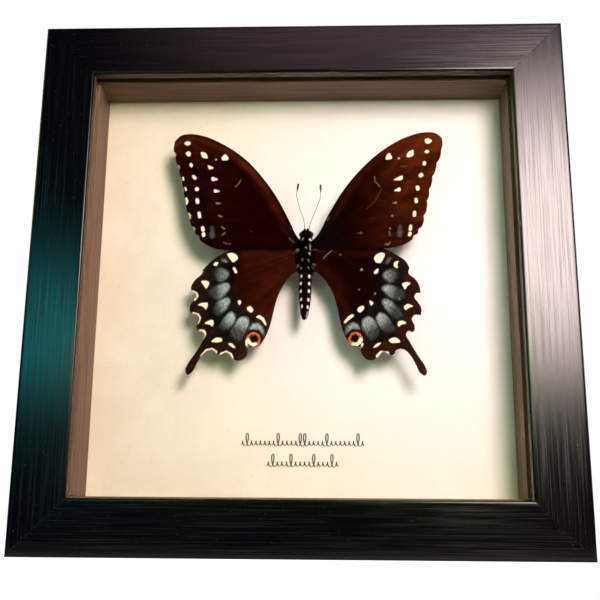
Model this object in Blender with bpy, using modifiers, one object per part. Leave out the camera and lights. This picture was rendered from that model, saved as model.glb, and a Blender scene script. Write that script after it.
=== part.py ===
"""A swallowtail butterfly specimen in a square black shadow-box frame.

The frame stands upright on its bottom rail. The origin is on the floor under the middle of
the whole object. +X is to the viewer's right, +Z is up, and the glass faces -Y.
Lengths are written in millimetres and turned into metres by the factor MM.
"""
import math

import bmesh
import bpy
from mathutils import Matrix, Vector

MM = 0.001

# --- driving dimensions, in millimetres -----------------------------------------------------
FRAME_SIDE = 178.0            # a 7 inch square frame, measured over the rails
FRAME_DEPTH = 35.0            # front face to back face of the rails
FACE_WIDTH = 17.7             # width of a rail seen from the front
LIP_DEPTH = 3.9               # thickness of the lip in front of the glass
WALL_WIDTH = 14.8             # rail width behind the lip, outside the rabbet
GAP = 0.3                     # clearance between touching pieces
GLASS_THICK = 2.0
SPACER_THICK = 3.2
PAPER_THICK = 0.3
MOUNT_THICK = 5.0
BOARD_THICK = 3.0
PAPER_FACE_DEPTH = 21.2       # front face of the frame to the face of the paper
FRONT_ARRIS = 0.8             # rounding of the rails' front edges
BACK_ARRIS = 0.5
MITRE_WASTE = 5.0             # spare length at each end of a rail before it is mitred
GLASS_ARRIS = 0.15

TAB_LENGTH = 14.0
TAB_WIDTH = 6.0
TAB_THICK = 0.5
TAB_IN_WOOD = 3.0
TAB_ARRIS = 0.1
TAB_PLACES = (-38.0, 38.0)    # two tabs a rail, measured along it from its middle

HANGER_LENGTH = 45.0
HANGER_HEIGHT = 8.0
HANGER_THICK = 0.8
HANGER_STAND_OFF = 1.3        # how far the toothed middle stands off the wood
HANGER_FOOT = 9.0             # flat end of the hanger that lies on the wood
HANGER_RAMP = 3.0             # length over which it rises to the toothed middle
HANGER_BEND = 0.3             # shift of the outer face at each bend, for an even thickness
HANGER_BELOW_TOP = 8.0        # top edge of the frame to the middle of the hanger
TEETH = 9
TOOTH_SHARE = 0.62            # width of a notch's square as a share of the teeth's pitch
NOTCH_REACH = 4.0             # half the depth of a notch's cutter
NAIL_SPACING = 37.0
NAIL_HEAD_RADIUS = 1.8
NAIL_HEAD_THICK = 0.7
NAIL_CROWN = 0.7              # flat top of the nail's head as a share of its radius
NAIL_EDGE = 0.4               # straight edge of the head as a share of its thickness
NAIL_SHANK_RADIUS = 0.6
NAIL_LENGTH = 9.0
NAIL_POINT = 1.2

BODY_RIGHT = 1.6              # the specimen sits a little right of the frame's middle
BODY_ABOVE_MIDDLE = 12.5      # and above it
WING_DEPTH = 11.2             # front face of the frame to the forewings' roots
WING_THICK = 0.3
WING_STEP = 0.6               # forewings lie this far in front of the hindwings
LIFT = {"left": 0.2, "right": 1.6}      # degrees that the wings rise towards the glass
DROOP_RIGHT = 0.9             # degrees that the right forewing is turned down in its plane
BODY_DEPTH_RATIO = 1.15       # the body is a little deeper than it is wide
BODY_BEHIND_WINGS = 1.2       # the wings join the thorax in front of its middle
BODY_LEAN = 0.8               # degrees that the body leans to the viewer's right
ANTENNA_LEAN = 2.2
PAD_RADIUS = 2.6
PAD_BELOW_MIDDLE = 0.8
ANTENNA_RADIUS = 0.13
CLUB_SWELL = 2.4              # how much thicker the antenna's club is than its shaft

HARDWARE_DEPTH = GAP + HANGER_STAND_OFF + HANGER_THICK
HALF = FRAME_SIDE / 2
FRONT_Y = -(FRAME_DEPTH + HARDWARE_DEPTH) / 2
BACK_Y = FRONT_Y + FRAME_DEPTH
GLASS_Y = FRONT_Y + LIP_DEPTH + GAP
SPACER_Y = GLASS_Y + GLASS_THICK + GAP
PAPER_Y = FRONT_Y + PAPER_FACE_DEPTH
MOUNT_Y = PAPER_Y + PAPER_THICK + GAP
BOARD_Y = MOUNT_Y + MOUNT_THICK + GAP
TAB_Y = BOARD_Y + BOARD_THICK + GAP
RABBET_HALF = HALF - WALL_WIDTH
INSERT_HALF = RABBET_HALF - GAP
WING_Y = FRONT_Y + WING_DEPTH
SPECIMEN = Vector((BODY_RIGHT, 0.0, HALF + BODY_ABOVE_MIDDLE))

SMOOTH, CORNER = "AUTO", "VECTOR"
SIDES = {"left": -1, "right": 1}      # as the viewer sees them

# Wing outlines, in millimetres from the middle of the thorax: outwards, then up.
FOREWING = (
    (3.1, 3.4, CORNER), (6.5, 10.3, SMOOTH), (11.0, 18.2, SMOOTH), (16.8, 25.9, SMOOTH),
    (24.2, 33.2, SMOOTH), (32.3, 38.4, SMOOTH), (40.6, 40.9, SMOOTH), (44.8, 40.0, SMOOTH),
    (46.0, 37.6, SMOOTH), (45.9, 34.4, SMOOTH), (45.4, 31.2, CORNER), (44.4, 29.2, SMOOTH),
    (44.2, 27.0, CORNER), (42.9, 24.9, SMOOTH), (42.7, 22.6, CORNER), (41.7, 20.7, SMOOTH),
    (41.9, 18.0, CORNER), (41.2, 16.3, SMOOTH), (41.3, 13.2, CORNER), (40.1, 10.9, SMOOTH),
    (39.7, 8.0, CORNER), (38.4, 6.1, SMOOTH), (38.1, 4.4, CORNER), (35.6, 1.9, SMOOTH),
    (31.5, -0.3, SMOOTH), (28.2, -0.9, SMOOTH), (16.0, -0.9, SMOOTH), (3.1, -0.9, CORNER),
)
HINDWING = (
    (3.1, -1.4, CORNER), (16.0, 0.6, SMOOTH), (26.8, -1.2, SMOOTH), (33.0, -5.4, SMOOTH),
    (34.6, -7.6, CORNER), (34.3, -9.0, SMOOTH), (37.2, -11.8, SMOOTH), (38.3, -15.6, CORNER),
    (36.2, -16.9, SMOOTH), (37.5, -19.0, SMOOTH), (38.2, -23.0, CORNER), (35.2, -24.6, SMOOTH),
    (35.8, -27.0, SMOOTH), (35.6, -29.2, CORNER), (33.4, -29.8, SMOOTH), (34.8, -33.6, SMOOTH),
    (36.9, -37.2, SMOOTH), (39.2, -41.4, SMOOTH), (38.7, -43.7, SMOOTH), (37.0, -42.4, SMOOTH),
    (34.6, -37.8, SMOOTH), (32.6, -35.8, SMOOTH), (30.4, -35.3, SMOOTH), (28.2, -37.1, CORNER),
    (25.6, -36.1, SMOOTH), (24.0, -38.0, CORNER), (21.9, -38.9, SMOOTH), (19.5, -37.6, SMOOTH),
    (18.9, -34.4, CORNER), (15.4, -33.7, SMOOTH), (13.3, -30.8, SMOOTH), (11.1, -23.8, SMOOTH),
    (8.7, -15.2, SMOOTH), (5.4, -9.9, SMOOTH), (3.1, -6.6, CORNER),
)
# The body's outline, front to back along its axis: height, half width.
BODY_PROFILE = (
    (6.3, 0.0), (6.0, 1.0), (5.2, 1.8), (4.3, 2.1), (3.2, 1.8), (2.0, 2.2), (-0.8, 2.6),
    (-4.4, 2.5), (-7.6, 2.1), (-9.6, 2.2), (-13.6, 2.3), (-17.6, 2.1), (-21.4, 1.6),
    (-24.0, 0.9), (-25.2, 0.0),
)
# One antenna's line from the brow to the tip of the club: outwards, up.
ANTENNA = (
    (0.5, 6.7), (1.3, 9.6), (2.3, 12.4), (3.4, 15.6), (4.0, 18.0), (4.0, 19.6), (3.5, 22.2),
)


# --- helpers ---------------------------------------------------------------------------------
def clear_scene():
    for thing in list(bpy.data.objects):
        bpy.data.objects.remove(thing, do_unlink=True)


def new_collection(name):
    group = bpy.data.collections.new(name)
    bpy.context.scene.collection.children.link(group)
    return group


def make_material(name, colour, roughness, metallic=0.0, transmission=0.0):
    material = bpy.data.materials.new(name)
    material.use_nodes = True
    shader = material.node_tree.nodes["Principled BSDF"]
    shader.inputs["Base Color"].default_value = (*colour, 1.0)
    shader.inputs["Roughness"].default_value = roughness
    shader.inputs["Metallic"].default_value = metallic
    shader.inputs["Transmission Weight"].default_value = transmission
    return material


def add_object(name, data, material, group):
    thing = bpy.data.objects.new(name, data)
    group.objects.link(thing)
    if material is not None:
        data.materials.clear()
        data.materials.append(material)
    return thing


def box_mesh(name, size_x, size_y, size_z, edge=0.0):
    """A box centred on the origin, sizes in millimetres, with its edges bevelled by edge."""
    shape = bmesh.new()
    bmesh.ops.create_cube(shape, size=1.0)
    bmesh.ops.scale(shape, vec=(size_x * MM, size_y * MM, size_z * MM), verts=shape.verts)
    if edge:
        bmesh.ops.bevel(shape, geom=shape.edges[:], offset=edge * MM, segments=1,
                        affect="EDGES", profile=0.5)
    mesh = bpy.data.meshes.new(name)
    shape.to_mesh(mesh)
    shape.free()
    return mesh


def add_box(name, low, high, material, group, edge=0.0):
    """A box between two corners, in millimetres."""
    low, high = Vector(low), Vector(high)
    size = high - low
    thing = add_object(name, box_mesh(name, *size, edge=edge), material, group)
    thing.location = (low + high) / 2 * MM
    return thing


def flat_outline(name, points, thick, group):
    """A flat closed 2D curve in its own XY plane, filled and extruded to a thickness.

    points are (x, y) for corners or (x, y, handle type), in millimetres."""
    curve = bpy.data.curves.new(name, "CURVE")
    curve.dimensions = "2D"
    curve.fill_mode = "BOTH"
    curve.resolution_u = 3
    curve.extrude = thick * MM / 2
    spline = curve.splines.new("BEZIER")
    spline.bezier_points.add(len(points) - 1)
    for knot, point in zip(spline.bezier_points, points):
        kind = point[2] if len(point) > 2 else CORNER
        knot.co = (point[0] * MM, point[1] * MM, 0.0)
        knot.handle_left_type = kind
        knot.handle_right_type = kind
    spline.use_cyclic_u = True
    thing = bpy.data.objects.new(name, curve)
    group.objects.link(thing)
    return thing


def as_mesh(thing, material, group):
    """The curve as a welded mesh object of the same name and place; the curve is removed."""
    bpy.context.view_layer.update()
    seen = thing.evaluated_get(bpy.context.evaluated_depsgraph_get())
    mesh = bpy.data.meshes.new_from_object(seen)
    shape = bmesh.new()
    shape.from_mesh(mesh)
    bmesh.ops.remove_doubles(shape, verts=shape.verts, dist=1e-6)
    bmesh.ops.recalc_face_normals(shape, faces=shape.faces)
    shape.to_mesh(mesh)
    shape.free()
    name, place = thing.name, thing.matrix_world.copy()
    bpy.data.objects.remove(thing, do_unlink=True)
    mesh.name = name
    solid = add_object(name, mesh, material, group)
    solid.matrix_world = place
    return solid


def arc(centre, radius, start, end, steps=3):
    """Points on an arc, angles in degrees, both ends included."""
    turn = [math.radians(start + (end - start) * i / steps) for i in range(steps + 1)]
    return [(centre[0] + radius * math.cos(a), centre[1] + radius * math.sin(a)) for a in turn]


def cut_with(target, cutters):
    """Takes each cutter's shape out of target with a live Boolean modifier."""
    for cutter in cutters:
        modifier = target.modifiers.new("cut", "BOOLEAN")
        modifier.operation = "DIFFERENCE"
        modifier.solver = "EXACT"
        modifier.object = cutter


def hide_cutter(cutter):
    cutter.hide_render = True
    cutter.display_type = "WIRE"


# --- frame -----------------------------------------------------------------------------------
def rail_profile():
    """Section through a rail: x is inwards from the frame's outer edge, y is the depth."""
    front = FRONT_ARRIS
    back = BACK_ARRIS
    return (
        arc((front, front), front, 180, 270)
        + arc((FACE_WIDTH - front, front), front, 270, 360)
        + [(FACE_WIDTH, LIP_DEPTH), (WALL_WIDTH, LIP_DEPTH)]
        + arc((WALL_WIDTH - back, FRAME_DEPTH - back), back, 0, 90, 2)
        + arc((back, FRAME_DEPTH - back), back, 90, 180, 2)
    )


def mitred_rail_mesh(group):
    """The bottom rail about the frame's middle: its section run along X, with both ends cut
    at 45 degrees on planes through the frame's corners."""
    curve = flat_outline("rail", rail_profile(), FRAME_SIDE + 2 * MITRE_WASTE, group)
    solid = as_mesh(curve, None, group)
    mesh = solid.data
    bpy.data.objects.remove(solid, do_unlink=True)
    # section x becomes world Z from the outer edge up, section y becomes depth, length is X
    mesh.transform(Matrix(((0, 0, 1, 0), (0, 1, 0, FRONT_Y * MM), (1, 0, 0, -HALF * MM),
                           (0, 0, 0, 1))))
    shape = bmesh.new()
    shape.from_mesh(mesh)
    shift = GAP / math.sqrt(2) * MM
    for side in (-1, 1):
        normal = Vector((side, 0, 1)).normalized()
        bmesh.ops.bisect_plane(shape, geom=shape.verts[:] + shape.edges[:] + shape.faces[:],
                               plane_co=Vector((-side * shift, 0, 0)), plane_no=normal,
                               clear_outer=True)
        rim = [edge for edge in shape.edges if edge.is_boundary]
        bmesh.ops.edgeloop_fill(shape, edges=rim)
    bmesh.ops.recalc_face_normals(shape, faces=shape.faces)
    shape.to_mesh(mesh)
    shape.free()
    return mesh


def turned(quarter):
    """The turn of quarter right angles about the frame's middle, which carries the bottom
    rail to the left, top and right ones."""
    return Matrix.Translation((0, 0, HALF * MM)) @ Matrix.Rotation(math.radians(90) * quarter,
                                                                   4, "Y")


def add_frame(group, cutters, wood, steel):
    mesh = mitred_rail_mesh(cutters)
    tab_number = 0
    rails = {}
    for quarter, name in enumerate(("rail_bottom", "rail_left", "rail_top", "rail_right")):
        rail = add_object(name, mesh.copy(), wood, group)
        rail.matrix_world = turned(quarter)
        rails[name] = rail
        slots = []
        for along in TAB_PLACES:
            tab_number += 1
            tab = add_object(f"tab_{tab_number}",
                             box_mesh("tab", TAB_WIDTH, TAB_THICK, TAB_LENGTH, TAB_ARRIS),
                             steel, group)
            middle = -RABBET_HALF - TAB_IN_WOOD + TAB_LENGTH / 2
            place = Matrix.Translation(Vector((along, TAB_Y + TAB_THICK / 2, middle)) * MM)
            tab.matrix_world = turned(quarter) @ place
            slot = add_object(f"slot_{tab_number}",
                              box_mesh("slot", TAB_WIDTH + 2 * GAP, TAB_THICK + 2 * GAP,
                                       TAB_LENGTH + 2 * GAP),
                              None, cutters)
            slot.matrix_world = tab.matrix_world
            hide_cutter(slot)
            slots.append(slot)
        cut_with(rail, slots)
    return rails


def profile_mesh(name, profile):
    """An open line of (radius, height) points in the XZ plane, to be turned about Z."""
    shape = bmesh.new()
    ring = [shape.verts.new((radius * MM, 0, height * MM)) for radius, height in profile]
    for upper, lower in zip(ring, ring[1:]):
        shape.edges.new((upper, lower))
    mesh = bpy.data.meshes.new(name)
    shape.to_mesh(mesh)
    shape.free()
    return mesh


def add_turned(name, profile, steps, material, group):
    """A round solid about its own Z, from a profile that runs down its outer side."""
    thing = add_object(name, profile_mesh(name, profile), material, group)
    screw = thing.modifiers.new("turn", "SCREW")
    screw.axis = "Z"
    screw.steps = steps
    screw.render_steps = steps
    screw.use_merge_vertices = True
    screw.merge_threshold = 0.00001
    screw.use_smooth_shade = True
    return thing


def hanger_outline():
    """The bent plate seen from above: x along the rail, y away from the wood."""
    half = HANGER_LENGTH / 2
    end = half - HANGER_FOOT
    ramp = end - HANGER_RAMP
    up = HANGER_STAND_OFF
    inner = [(-half, 0.0), (-end, 0.0), (-ramp, up), (ramp, up), (end, 0.0), (half, 0.0)]
    shifts = (0.0, HANGER_BEND, HANGER_BEND, -HANGER_BEND, -HANGER_BEND, 0.0)
    outer = [(x - shift, y + HANGER_THICK) for (x, y), shift in zip(inner, shifts)]
    return inner + outer[::-1]


def add_notches(cutters, middle_z):
    """Squares on their corners, half in the plate's lower edge, that leave its teeth."""
    span = HANGER_LENGTH - 2 * (HANGER_FOOT + HANGER_RAMP)
    pitch = span / TEETH
    size = pitch * TOOTH_SHARE
    notches = []
    for number in range(TEETH):
        notch = add_object(f"notch_{number}", box_mesh("notch", size, 2 * NOTCH_REACH, size),
                           None, cutters)
        middle = Vector((pitch * (number + 0.5) - span / 2, BACK_Y + HARDWARE_DEPTH,
                         middle_z - HANGER_HEIGHT / 2))
        notch.matrix_world = (Matrix.Translation(middle * MM)
                              @ Matrix.Rotation(math.radians(45), 4, "Y"))
        notches.append(notch)
    return notches


def nail_profile():
    """Half section of a nail, head up: radius and height, with zero under the head."""
    shank = NAIL_LENGTH - NAIL_HEAD_THICK
    return (
        (0, NAIL_HEAD_THICK), (NAIL_HEAD_RADIUS * NAIL_CROWN, NAIL_HEAD_THICK),
        (NAIL_HEAD_RADIUS, NAIL_HEAD_THICK * NAIL_EDGE), (NAIL_HEAD_RADIUS, 0),
        (NAIL_SHANK_RADIUS, 0), (NAIL_SHANK_RADIUS, NAIL_POINT - shank), (0, -shank),
    )


def add_hanger(group, cutters, rail_top, brass):
    """A sawtooth hanger: flat ends nailed to the rail and a toothed middle that stands off."""
    middle_z = FRAME_SIDE - HANGER_BELOW_TOP
    hanger = as_mesh(flat_outline("sawtooth_hanger", hanger_outline(), HANGER_HEIGHT, group),
                     brass, group)
    hanger.location = Vector((0, BACK_Y + GAP, middle_z)) * MM
    head_y = BACK_Y + GAP + HANGER_THICK + GAP
    hole_width = 2 * (NAIL_SHANK_RADIUS + GAP)
    holes = []
    for word, side in SIDES.items():
        nail = add_turned(f"hanger_nail_{word}", nail_profile(), 12, brass, group)
        nail.rotation_euler = (math.radians(-90), 0, 0)
        nail.location = Vector((side * NAIL_SPACING / 2, head_y, middle_z)) * MM
        hole = add_object(f"nail_hole_{word}",
                          box_mesh("nail_hole", hole_width, 2 * NAIL_LENGTH, hole_width),
                          None, cutters)
        hole.location = nail.location
        holes.append(hole)
    notches = add_notches(cutters, middle_z)
    for cutter in notches + holes:
        hide_cutter(cutter)
    cut_with(hanger, notches + holes)
    cut_with(rail_top, holes)


def add_insert(group, glass, black, paper, foam, board):
    """The flat pieces inside the rabbet, from the glass to the back board."""
    low, high = HALF - INSERT_HALF, HALF + INSERT_HALF

    def sheet(name, front, thick, material, edge=0.0):
        add_box(name, (-INSERT_HALF, front, low), (INSERT_HALF, front + thick, high), material,
                group, edge)

    sheet("glass_pane", GLASS_Y, GLASS_THICK, glass, GLASS_ARRIS)
    sheet("backing_paper", PAPER_Y, PAPER_THICK, paper)
    sheet("mount_board", MOUNT_Y, MOUNT_THICK, foam)
    sheet("back_board", BOARD_Y, BOARD_THICK, board)
    near, far = SPACER_Y, PAPER_Y - GAP
    inner = INSERT_HALF - SPACER_THICK
    add_box("spacer_bottom", (-INSERT_HALF, near, low), (INSERT_HALF, far, HALF - inner), black,
            group)
    add_box("spacer_top", (-INSERT_HALF, near, HALF + inner), (INSERT_HALF, far, high), black,
            group)
    add_box("spacer_left", (-INSERT_HALF, near, HALF - inner + GAP),
            (-inner, far, HALF + inner - GAP), black, group)
    add_box("spacer_right", (inner, near, HALF - inner + GAP),
            (INSERT_HALF, far, HALF + inner - GAP), black, group)


# --- specimen --------------------------------------------------------------------------------
def about_specimen(depth):
    """Moves a shape from the origin to the middle of the thorax, at a depth."""
    return Matrix.Translation((SPECIMEN + Vector((0, depth, 0))) * MM)


def lean(angle):
    """A turn in the frame's plane, clockwise for the viewer."""
    return Matrix.Rotation(math.radians(angle), 4, "Y")


def add_wing(kind, word, outline, depth, droop, material, group):
    """A wing: its outline stood upright in the frame's plane, then drooped and lifted."""
    side = SIDES[word]
    points = [(side * x, z, handle) for x, z, handle in outline]
    wing = flat_outline(f"{kind}_{word}", points, WING_THICK, group)
    upright = Matrix.Rotation(math.radians(90), 4, "X")
    lifted = Matrix.Rotation(math.radians(-side * LIFT[word]), 4, "Z")
    wing.matrix_world = about_specimen(depth) @ lifted @ lean(side * droop) @ upright
    return as_mesh(wing, material, group)


def add_antenna(word, material, group):
    name, side = f"antenna_{word}", SIDES[word]
    curve = bpy.data.curves.new(name, "CURVE")
    curve.dimensions = "3D"
    curve.bevel_depth = ANTENNA_RADIUS * MM
    curve.bevel_resolution = 2
    curve.use_fill_caps = True
    spline = curve.splines.new("POLY")
    spline.points.add(len(ANTENNA) - 1)
    last = len(ANTENNA) - 1
    for number, (knot, (x, z)) in enumerate(zip(spline.points, ANTENNA)):
        knot.co = (side * x * MM, 0, z * MM, 1)
        knot.radius = CLUB_SWELL if number >= last - 1 else 1.0
    antenna = bpy.data.objects.new(name, curve)
    group.objects.link(antenna)
    antenna.matrix_world = about_specimen(WING_Y) @ lean(ANTENNA_LEAN)
    return as_mesh(antenna, material, group)


def add_specimen(group, wing_material, body_material, antenna_material, foam):
    body = add_turned("butterfly_body", [(width, z) for z, width in BODY_PROFILE], 20,
                      body_material, group)
    body_y = WING_Y + BODY_BEHIND_WINGS
    deeper = Matrix.Diagonal((1.0, BODY_DEPTH_RATIO, 1.0, 1.0))
    body.matrix_world = about_specimen(body_y) @ lean(BODY_LEAN) @ deeper
    for word in SIDES:
        droop = DROOP_RIGHT if word == "right" else 0.0
        add_wing("forewing", word, FOREWING, WING_Y, droop, wing_material, group)
        add_wing("hindwing", word, HINDWING, WING_Y + WING_STEP, 0.0, wing_material, group)
        add_antenna(word, antenna_material, group)
    widest = max(width for z, width in BODY_PROFILE)
    pad_front = body_y + widest * BODY_DEPTH_RATIO + GAP
    pad_back = PAPER_Y - GAP
    pad_profile = ((0, 0), (PAD_RADIUS, 0), (PAD_RADIUS, pad_front - pad_back),
                   (0, pad_front - pad_back))
    pad = add_turned("mounting_pad", pad_profile, 16, foam, group)
    pad.rotation_euler = (math.radians(-90), 0, 0)
    pad.location = (SPECIMEN + Vector((0, pad_back, -PAD_BELOW_MIDDLE))) * MM


def main():
    clear_scene()
    group = new_collection("framed_butterfly")
    cutters = new_collection("cutters")
    wood = make_material("black_wood", (0.012, 0.012, 0.015), 0.35)
    black = make_material("black_strip", (0.02, 0.017, 0.014), 0.3)
    glass = make_material("picture_glass", (0.95, 0.97, 0.96), 0.0, transmission=1.0)
    paper = make_material("parchment", (0.86, 0.78, 0.64), 0.9)
    foam = make_material("foam_board", (0.9, 0.9, 0.88), 0.8)
    board = make_material("fibreboard", (0.33, 0.2, 0.1), 0.8)
    steel = make_material("tab_steel", (0.55, 0.55, 0.56), 0.4, metallic=1.0)
    brass = make_material("hanger_brass", (0.72, 0.55, 0.25), 0.35, metallic=1.0)
    wings = make_material("wing_scales", (0.03, 0.012, 0.008), 0.7)
    body = make_material("body_fur", (0.012, 0.01, 0.009), 0.8)
    antenna = make_material("antenna_horn", (0.05, 0.04, 0.03), 0.5)
    rails = add_frame(group, cutters, wood, steel)
    add_hanger(group, cutters, rails["rail_top"], brass)
    add_insert(group, glass, black, paper, foam, board)
    add_specimen(group, wings, body, antenna, foam)


main()
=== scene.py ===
# %% [markdown]
# # A swallowtail butterfly in a black shadow box
#
# The object is a deep square picture frame of black lacquered oak. Behind its glass a spread
# butterfly floats in front of a cream paper. The construction comes from the imported frame:
# rails, glass, spacers, paper, boards and hanger at their real size. This lesson makes the
# surfaces: the grain of the wood, the cloudy tone of the paper with a painted pool of light on
# it, and the whole insect, which in the imported frame is only a set of plain plates.

# %% Load the imported frame and keep its box
import math

import bmesh
import bpy
import numpy as np
from mathutils import Euler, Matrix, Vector


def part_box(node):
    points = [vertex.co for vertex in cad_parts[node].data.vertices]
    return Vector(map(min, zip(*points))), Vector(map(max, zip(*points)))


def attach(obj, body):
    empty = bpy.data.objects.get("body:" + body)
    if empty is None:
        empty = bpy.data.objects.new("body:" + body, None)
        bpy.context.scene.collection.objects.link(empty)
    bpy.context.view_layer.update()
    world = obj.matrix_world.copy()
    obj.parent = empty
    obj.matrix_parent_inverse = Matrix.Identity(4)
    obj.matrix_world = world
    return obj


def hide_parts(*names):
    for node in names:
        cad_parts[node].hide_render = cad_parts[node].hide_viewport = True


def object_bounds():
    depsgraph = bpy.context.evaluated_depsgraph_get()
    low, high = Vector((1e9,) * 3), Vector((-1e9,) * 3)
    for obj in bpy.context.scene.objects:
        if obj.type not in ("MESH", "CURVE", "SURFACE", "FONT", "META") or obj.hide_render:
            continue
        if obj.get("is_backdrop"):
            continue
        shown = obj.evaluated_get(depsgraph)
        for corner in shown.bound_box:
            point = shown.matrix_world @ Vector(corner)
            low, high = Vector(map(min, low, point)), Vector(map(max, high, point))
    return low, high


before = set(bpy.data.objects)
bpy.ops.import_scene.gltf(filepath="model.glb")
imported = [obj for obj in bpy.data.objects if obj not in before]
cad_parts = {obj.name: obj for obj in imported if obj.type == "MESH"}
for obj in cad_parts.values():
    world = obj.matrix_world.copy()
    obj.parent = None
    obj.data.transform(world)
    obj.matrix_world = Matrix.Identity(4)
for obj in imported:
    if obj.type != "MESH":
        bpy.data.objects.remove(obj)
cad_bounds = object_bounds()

MM = 0.001
print("nodes:", len(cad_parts), "box in mm:", [round(c / MM, 1) for p in cad_bounds for c in p])

# %% [markdown]
# ## Where things are
#
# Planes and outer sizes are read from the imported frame, which faces -Y. Its rails give the
# front plane, the back plane and the outer size, and the sheets between them give the depths.
# Only the specimen's own middle is set by value: it hangs a little right of the middle, and
# the head's top stands a few millimetres above it.

# %% Main planes and sizes, in millimetres
def node_box(name):
    """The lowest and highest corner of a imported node, in millimetres."""
    low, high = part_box(name)
    return np.array(low) / MM, np.array(high) / MM

rail_low, rail_high = node_box("rail_bottom")
glass_low, glass_high = node_box("glass_pane")
body_low, body_high = node_box("butterfly_body")

FRONT, BACK = rail_low[1], rail_high[1]
FACE_WIDTH = rail_high[2]
HALF = node_box("rail_top")[1][2] / 2
CLEARANCE = 0.3
LIP_DEPTH = glass_low[1] - FRONT - CLEARANCE
WALL = HALF - glass_high[0] - CLEARANCE
PAPER = node_box("backing_paper")[0][1]
WINGS = node_box("forewing_left")[0][1]
HINDWINGS = node_box("hindwing_left")[0][1]
BODY_RIGHT = 1.6
BROW_ABOVE_THORAX = 6.55
THORAX = np.array([BODY_RIGHT, (body_low[1] + body_high[1]) / 2,
                   body_high[2] - BROW_ABOVE_THORAX])
print("front", FRONT, "paper", PAPER, "wings", WINGS, "thorax", THORAX)

# %% [markdown]
# ## Camera
#
# The camera stands low in front of the frame and looks slightly up at it, so that the
# underside of the top rail shows. A longer lens farther away would flatten the box.

# %% Camera
LENS, SENSOR = 53.95, 36.0
CAMERA_PLACE = np.array([10.06, FRONT - 279.3, 11.15])
CAMERA_PITCH, CAMERA_YAW, CAMERA_ROLL = 13.84, 2.03, 0.45

camera_data = bpy.data.cameras.new("camera")
camera_data.lens = LENS
camera_data.sensor_width = SENSOR
camera_data.clip_start = 0.01
camera = bpy.data.objects.new("camera", camera_data)
bpy.context.scene.collection.objects.link(camera)
camera.location = Vector(CAMERA_PLACE * MM)
turn = Euler((math.radians(90 + CAMERA_PITCH), 0, math.radians(CAMERA_YAW)), "XYZ").to_matrix()
roll = Euler((0, 0, math.radians(CAMERA_ROLL)), "XYZ").to_matrix()
camera.rotation_euler = (turn @ roll).to_euler()
bpy.context.scene.camera = camera
bpy.context.scene.view_settings.view_transform = "Standard"
print("camera at", tuple(round(c, 4) for c in camera.location))

# %% [markdown]
# ## Node helpers
#
# A material is a small graph. These helpers add a node with its inputs in one call, so that
# each finish below reads like a recipe. An input is either a plain value or another node's
# output.

# %% Helpers for shader nodes
def add(tree, kind, inputs=None, **settings):
    """Adds a node to a tree; inputs are values or output sockets, by name or number."""
    made = tree.nodes.new(kind)
    for key, value in settings.items():
        setattr(made, key, value)
    for key, value in (inputs or {}).items():
        if isinstance(value, bpy.types.NodeSocket):
            tree.links.new(value, made.inputs[key])
        else:
            made.inputs[key].default_value = value
    return made

def maths(tree, operation, first, second=0.0, third=0.0):
    """The result of a Math node."""
    made = add(tree, "ShaderNodeMath", {0: first, 1: second, 2: third}, operation=operation)
    return made.outputs[0]

def step_up(tree, value, low, high, bottom=0.0, top=1.0):
    """A smooth rise from bottom to top while value goes from low to high."""
    made = add(tree, "ShaderNodeMapRange", {"Value": value, "From Min": low, "From Max": high,
                                            "To Min": bottom, "To Max": top},
               interpolation_type="SMOOTHSTEP")
    return made.outputs["Result"]

def mix(tree, share, first, second):
    """The colour between first and second; colours are sockets or (r, g, b)."""
    first, second = (c if isinstance(c, bpy.types.NodeSocket) else (*c, 1.0)
                     for c in (first, second))
    made = add(tree, "ShaderNodeMix", {0: share, 6: first, 7: second}, data_type="RGBA")
    return made.outputs[2]

def places(tree, scale=(1.0, 1.0, 1.0), turn=(0.0, 0.0, 0.0), uv=""):
    """Object coordinates, or a UV map's, scaled; the unit is the metre."""
    if uv:
        source = add(tree, "ShaderNodeUVMap", uv_map=uv).outputs[0]
    else:
        source = add(tree, "ShaderNodeTexCoord").outputs["Object"]
    return add(tree, "ShaderNodeMapping", {"Vector": source, "Scale": scale,
                                           "Rotation": turn}).outputs[0]

def noise(tree, where, scale, detail=2.0, roughness=0.5, distortion=0.0):
    """Cloudy noise from 0 to 1; scale is in cycles for each metre of `where`."""
    made = add(tree, "ShaderNodeTexNoise", {"Vector": where, "Scale": scale, "Detail": detail,
                                            "Roughness": roughness, "Distortion": distortion})
    return made.outputs["Fac"]

def attribute(tree, name):
    """A number stored on the mesh's points."""
    return add(tree, "ShaderNodeAttribute", attribute_name=name).outputs["Fac"]

def bump(tree, height, distance, strength=1.0):
    """A normal bent by a height from 0 to 1 that stands for `distance` metres."""
    made = add(tree, "ShaderNodeBump", {"Height": height, "Distance": distance,
                                        "Strength": strength})
    return made.outputs["Normal"]

def material(name, **plain):
    """A new material: returns it, its tree and its Principled shader, with plain values set."""
    made = bpy.data.materials.new(name)
    made.use_nodes = True
    shader = made.node_tree.nodes["Principled BSDF"]
    for key, value in plain.items():
        shader.inputs[key.replace("_", " ").title().replace("Ior", "IOR")].default_value = value
    return made, made.node_tree, shader

def finish_with(tree, shader, **sockets):
    """Links outputs into the Principled shader: colour, roughness, normal and so on."""
    names = {"colour": "Base Color", "roughness": "Roughness", "normal": "Normal",
             "metallic": "Metallic", "coat": "Coat Weight", "alpha": "Alpha"}
    for key, socket in sockets.items():
        tree.links.new(socket, shader.inputs[names[key]])

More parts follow.
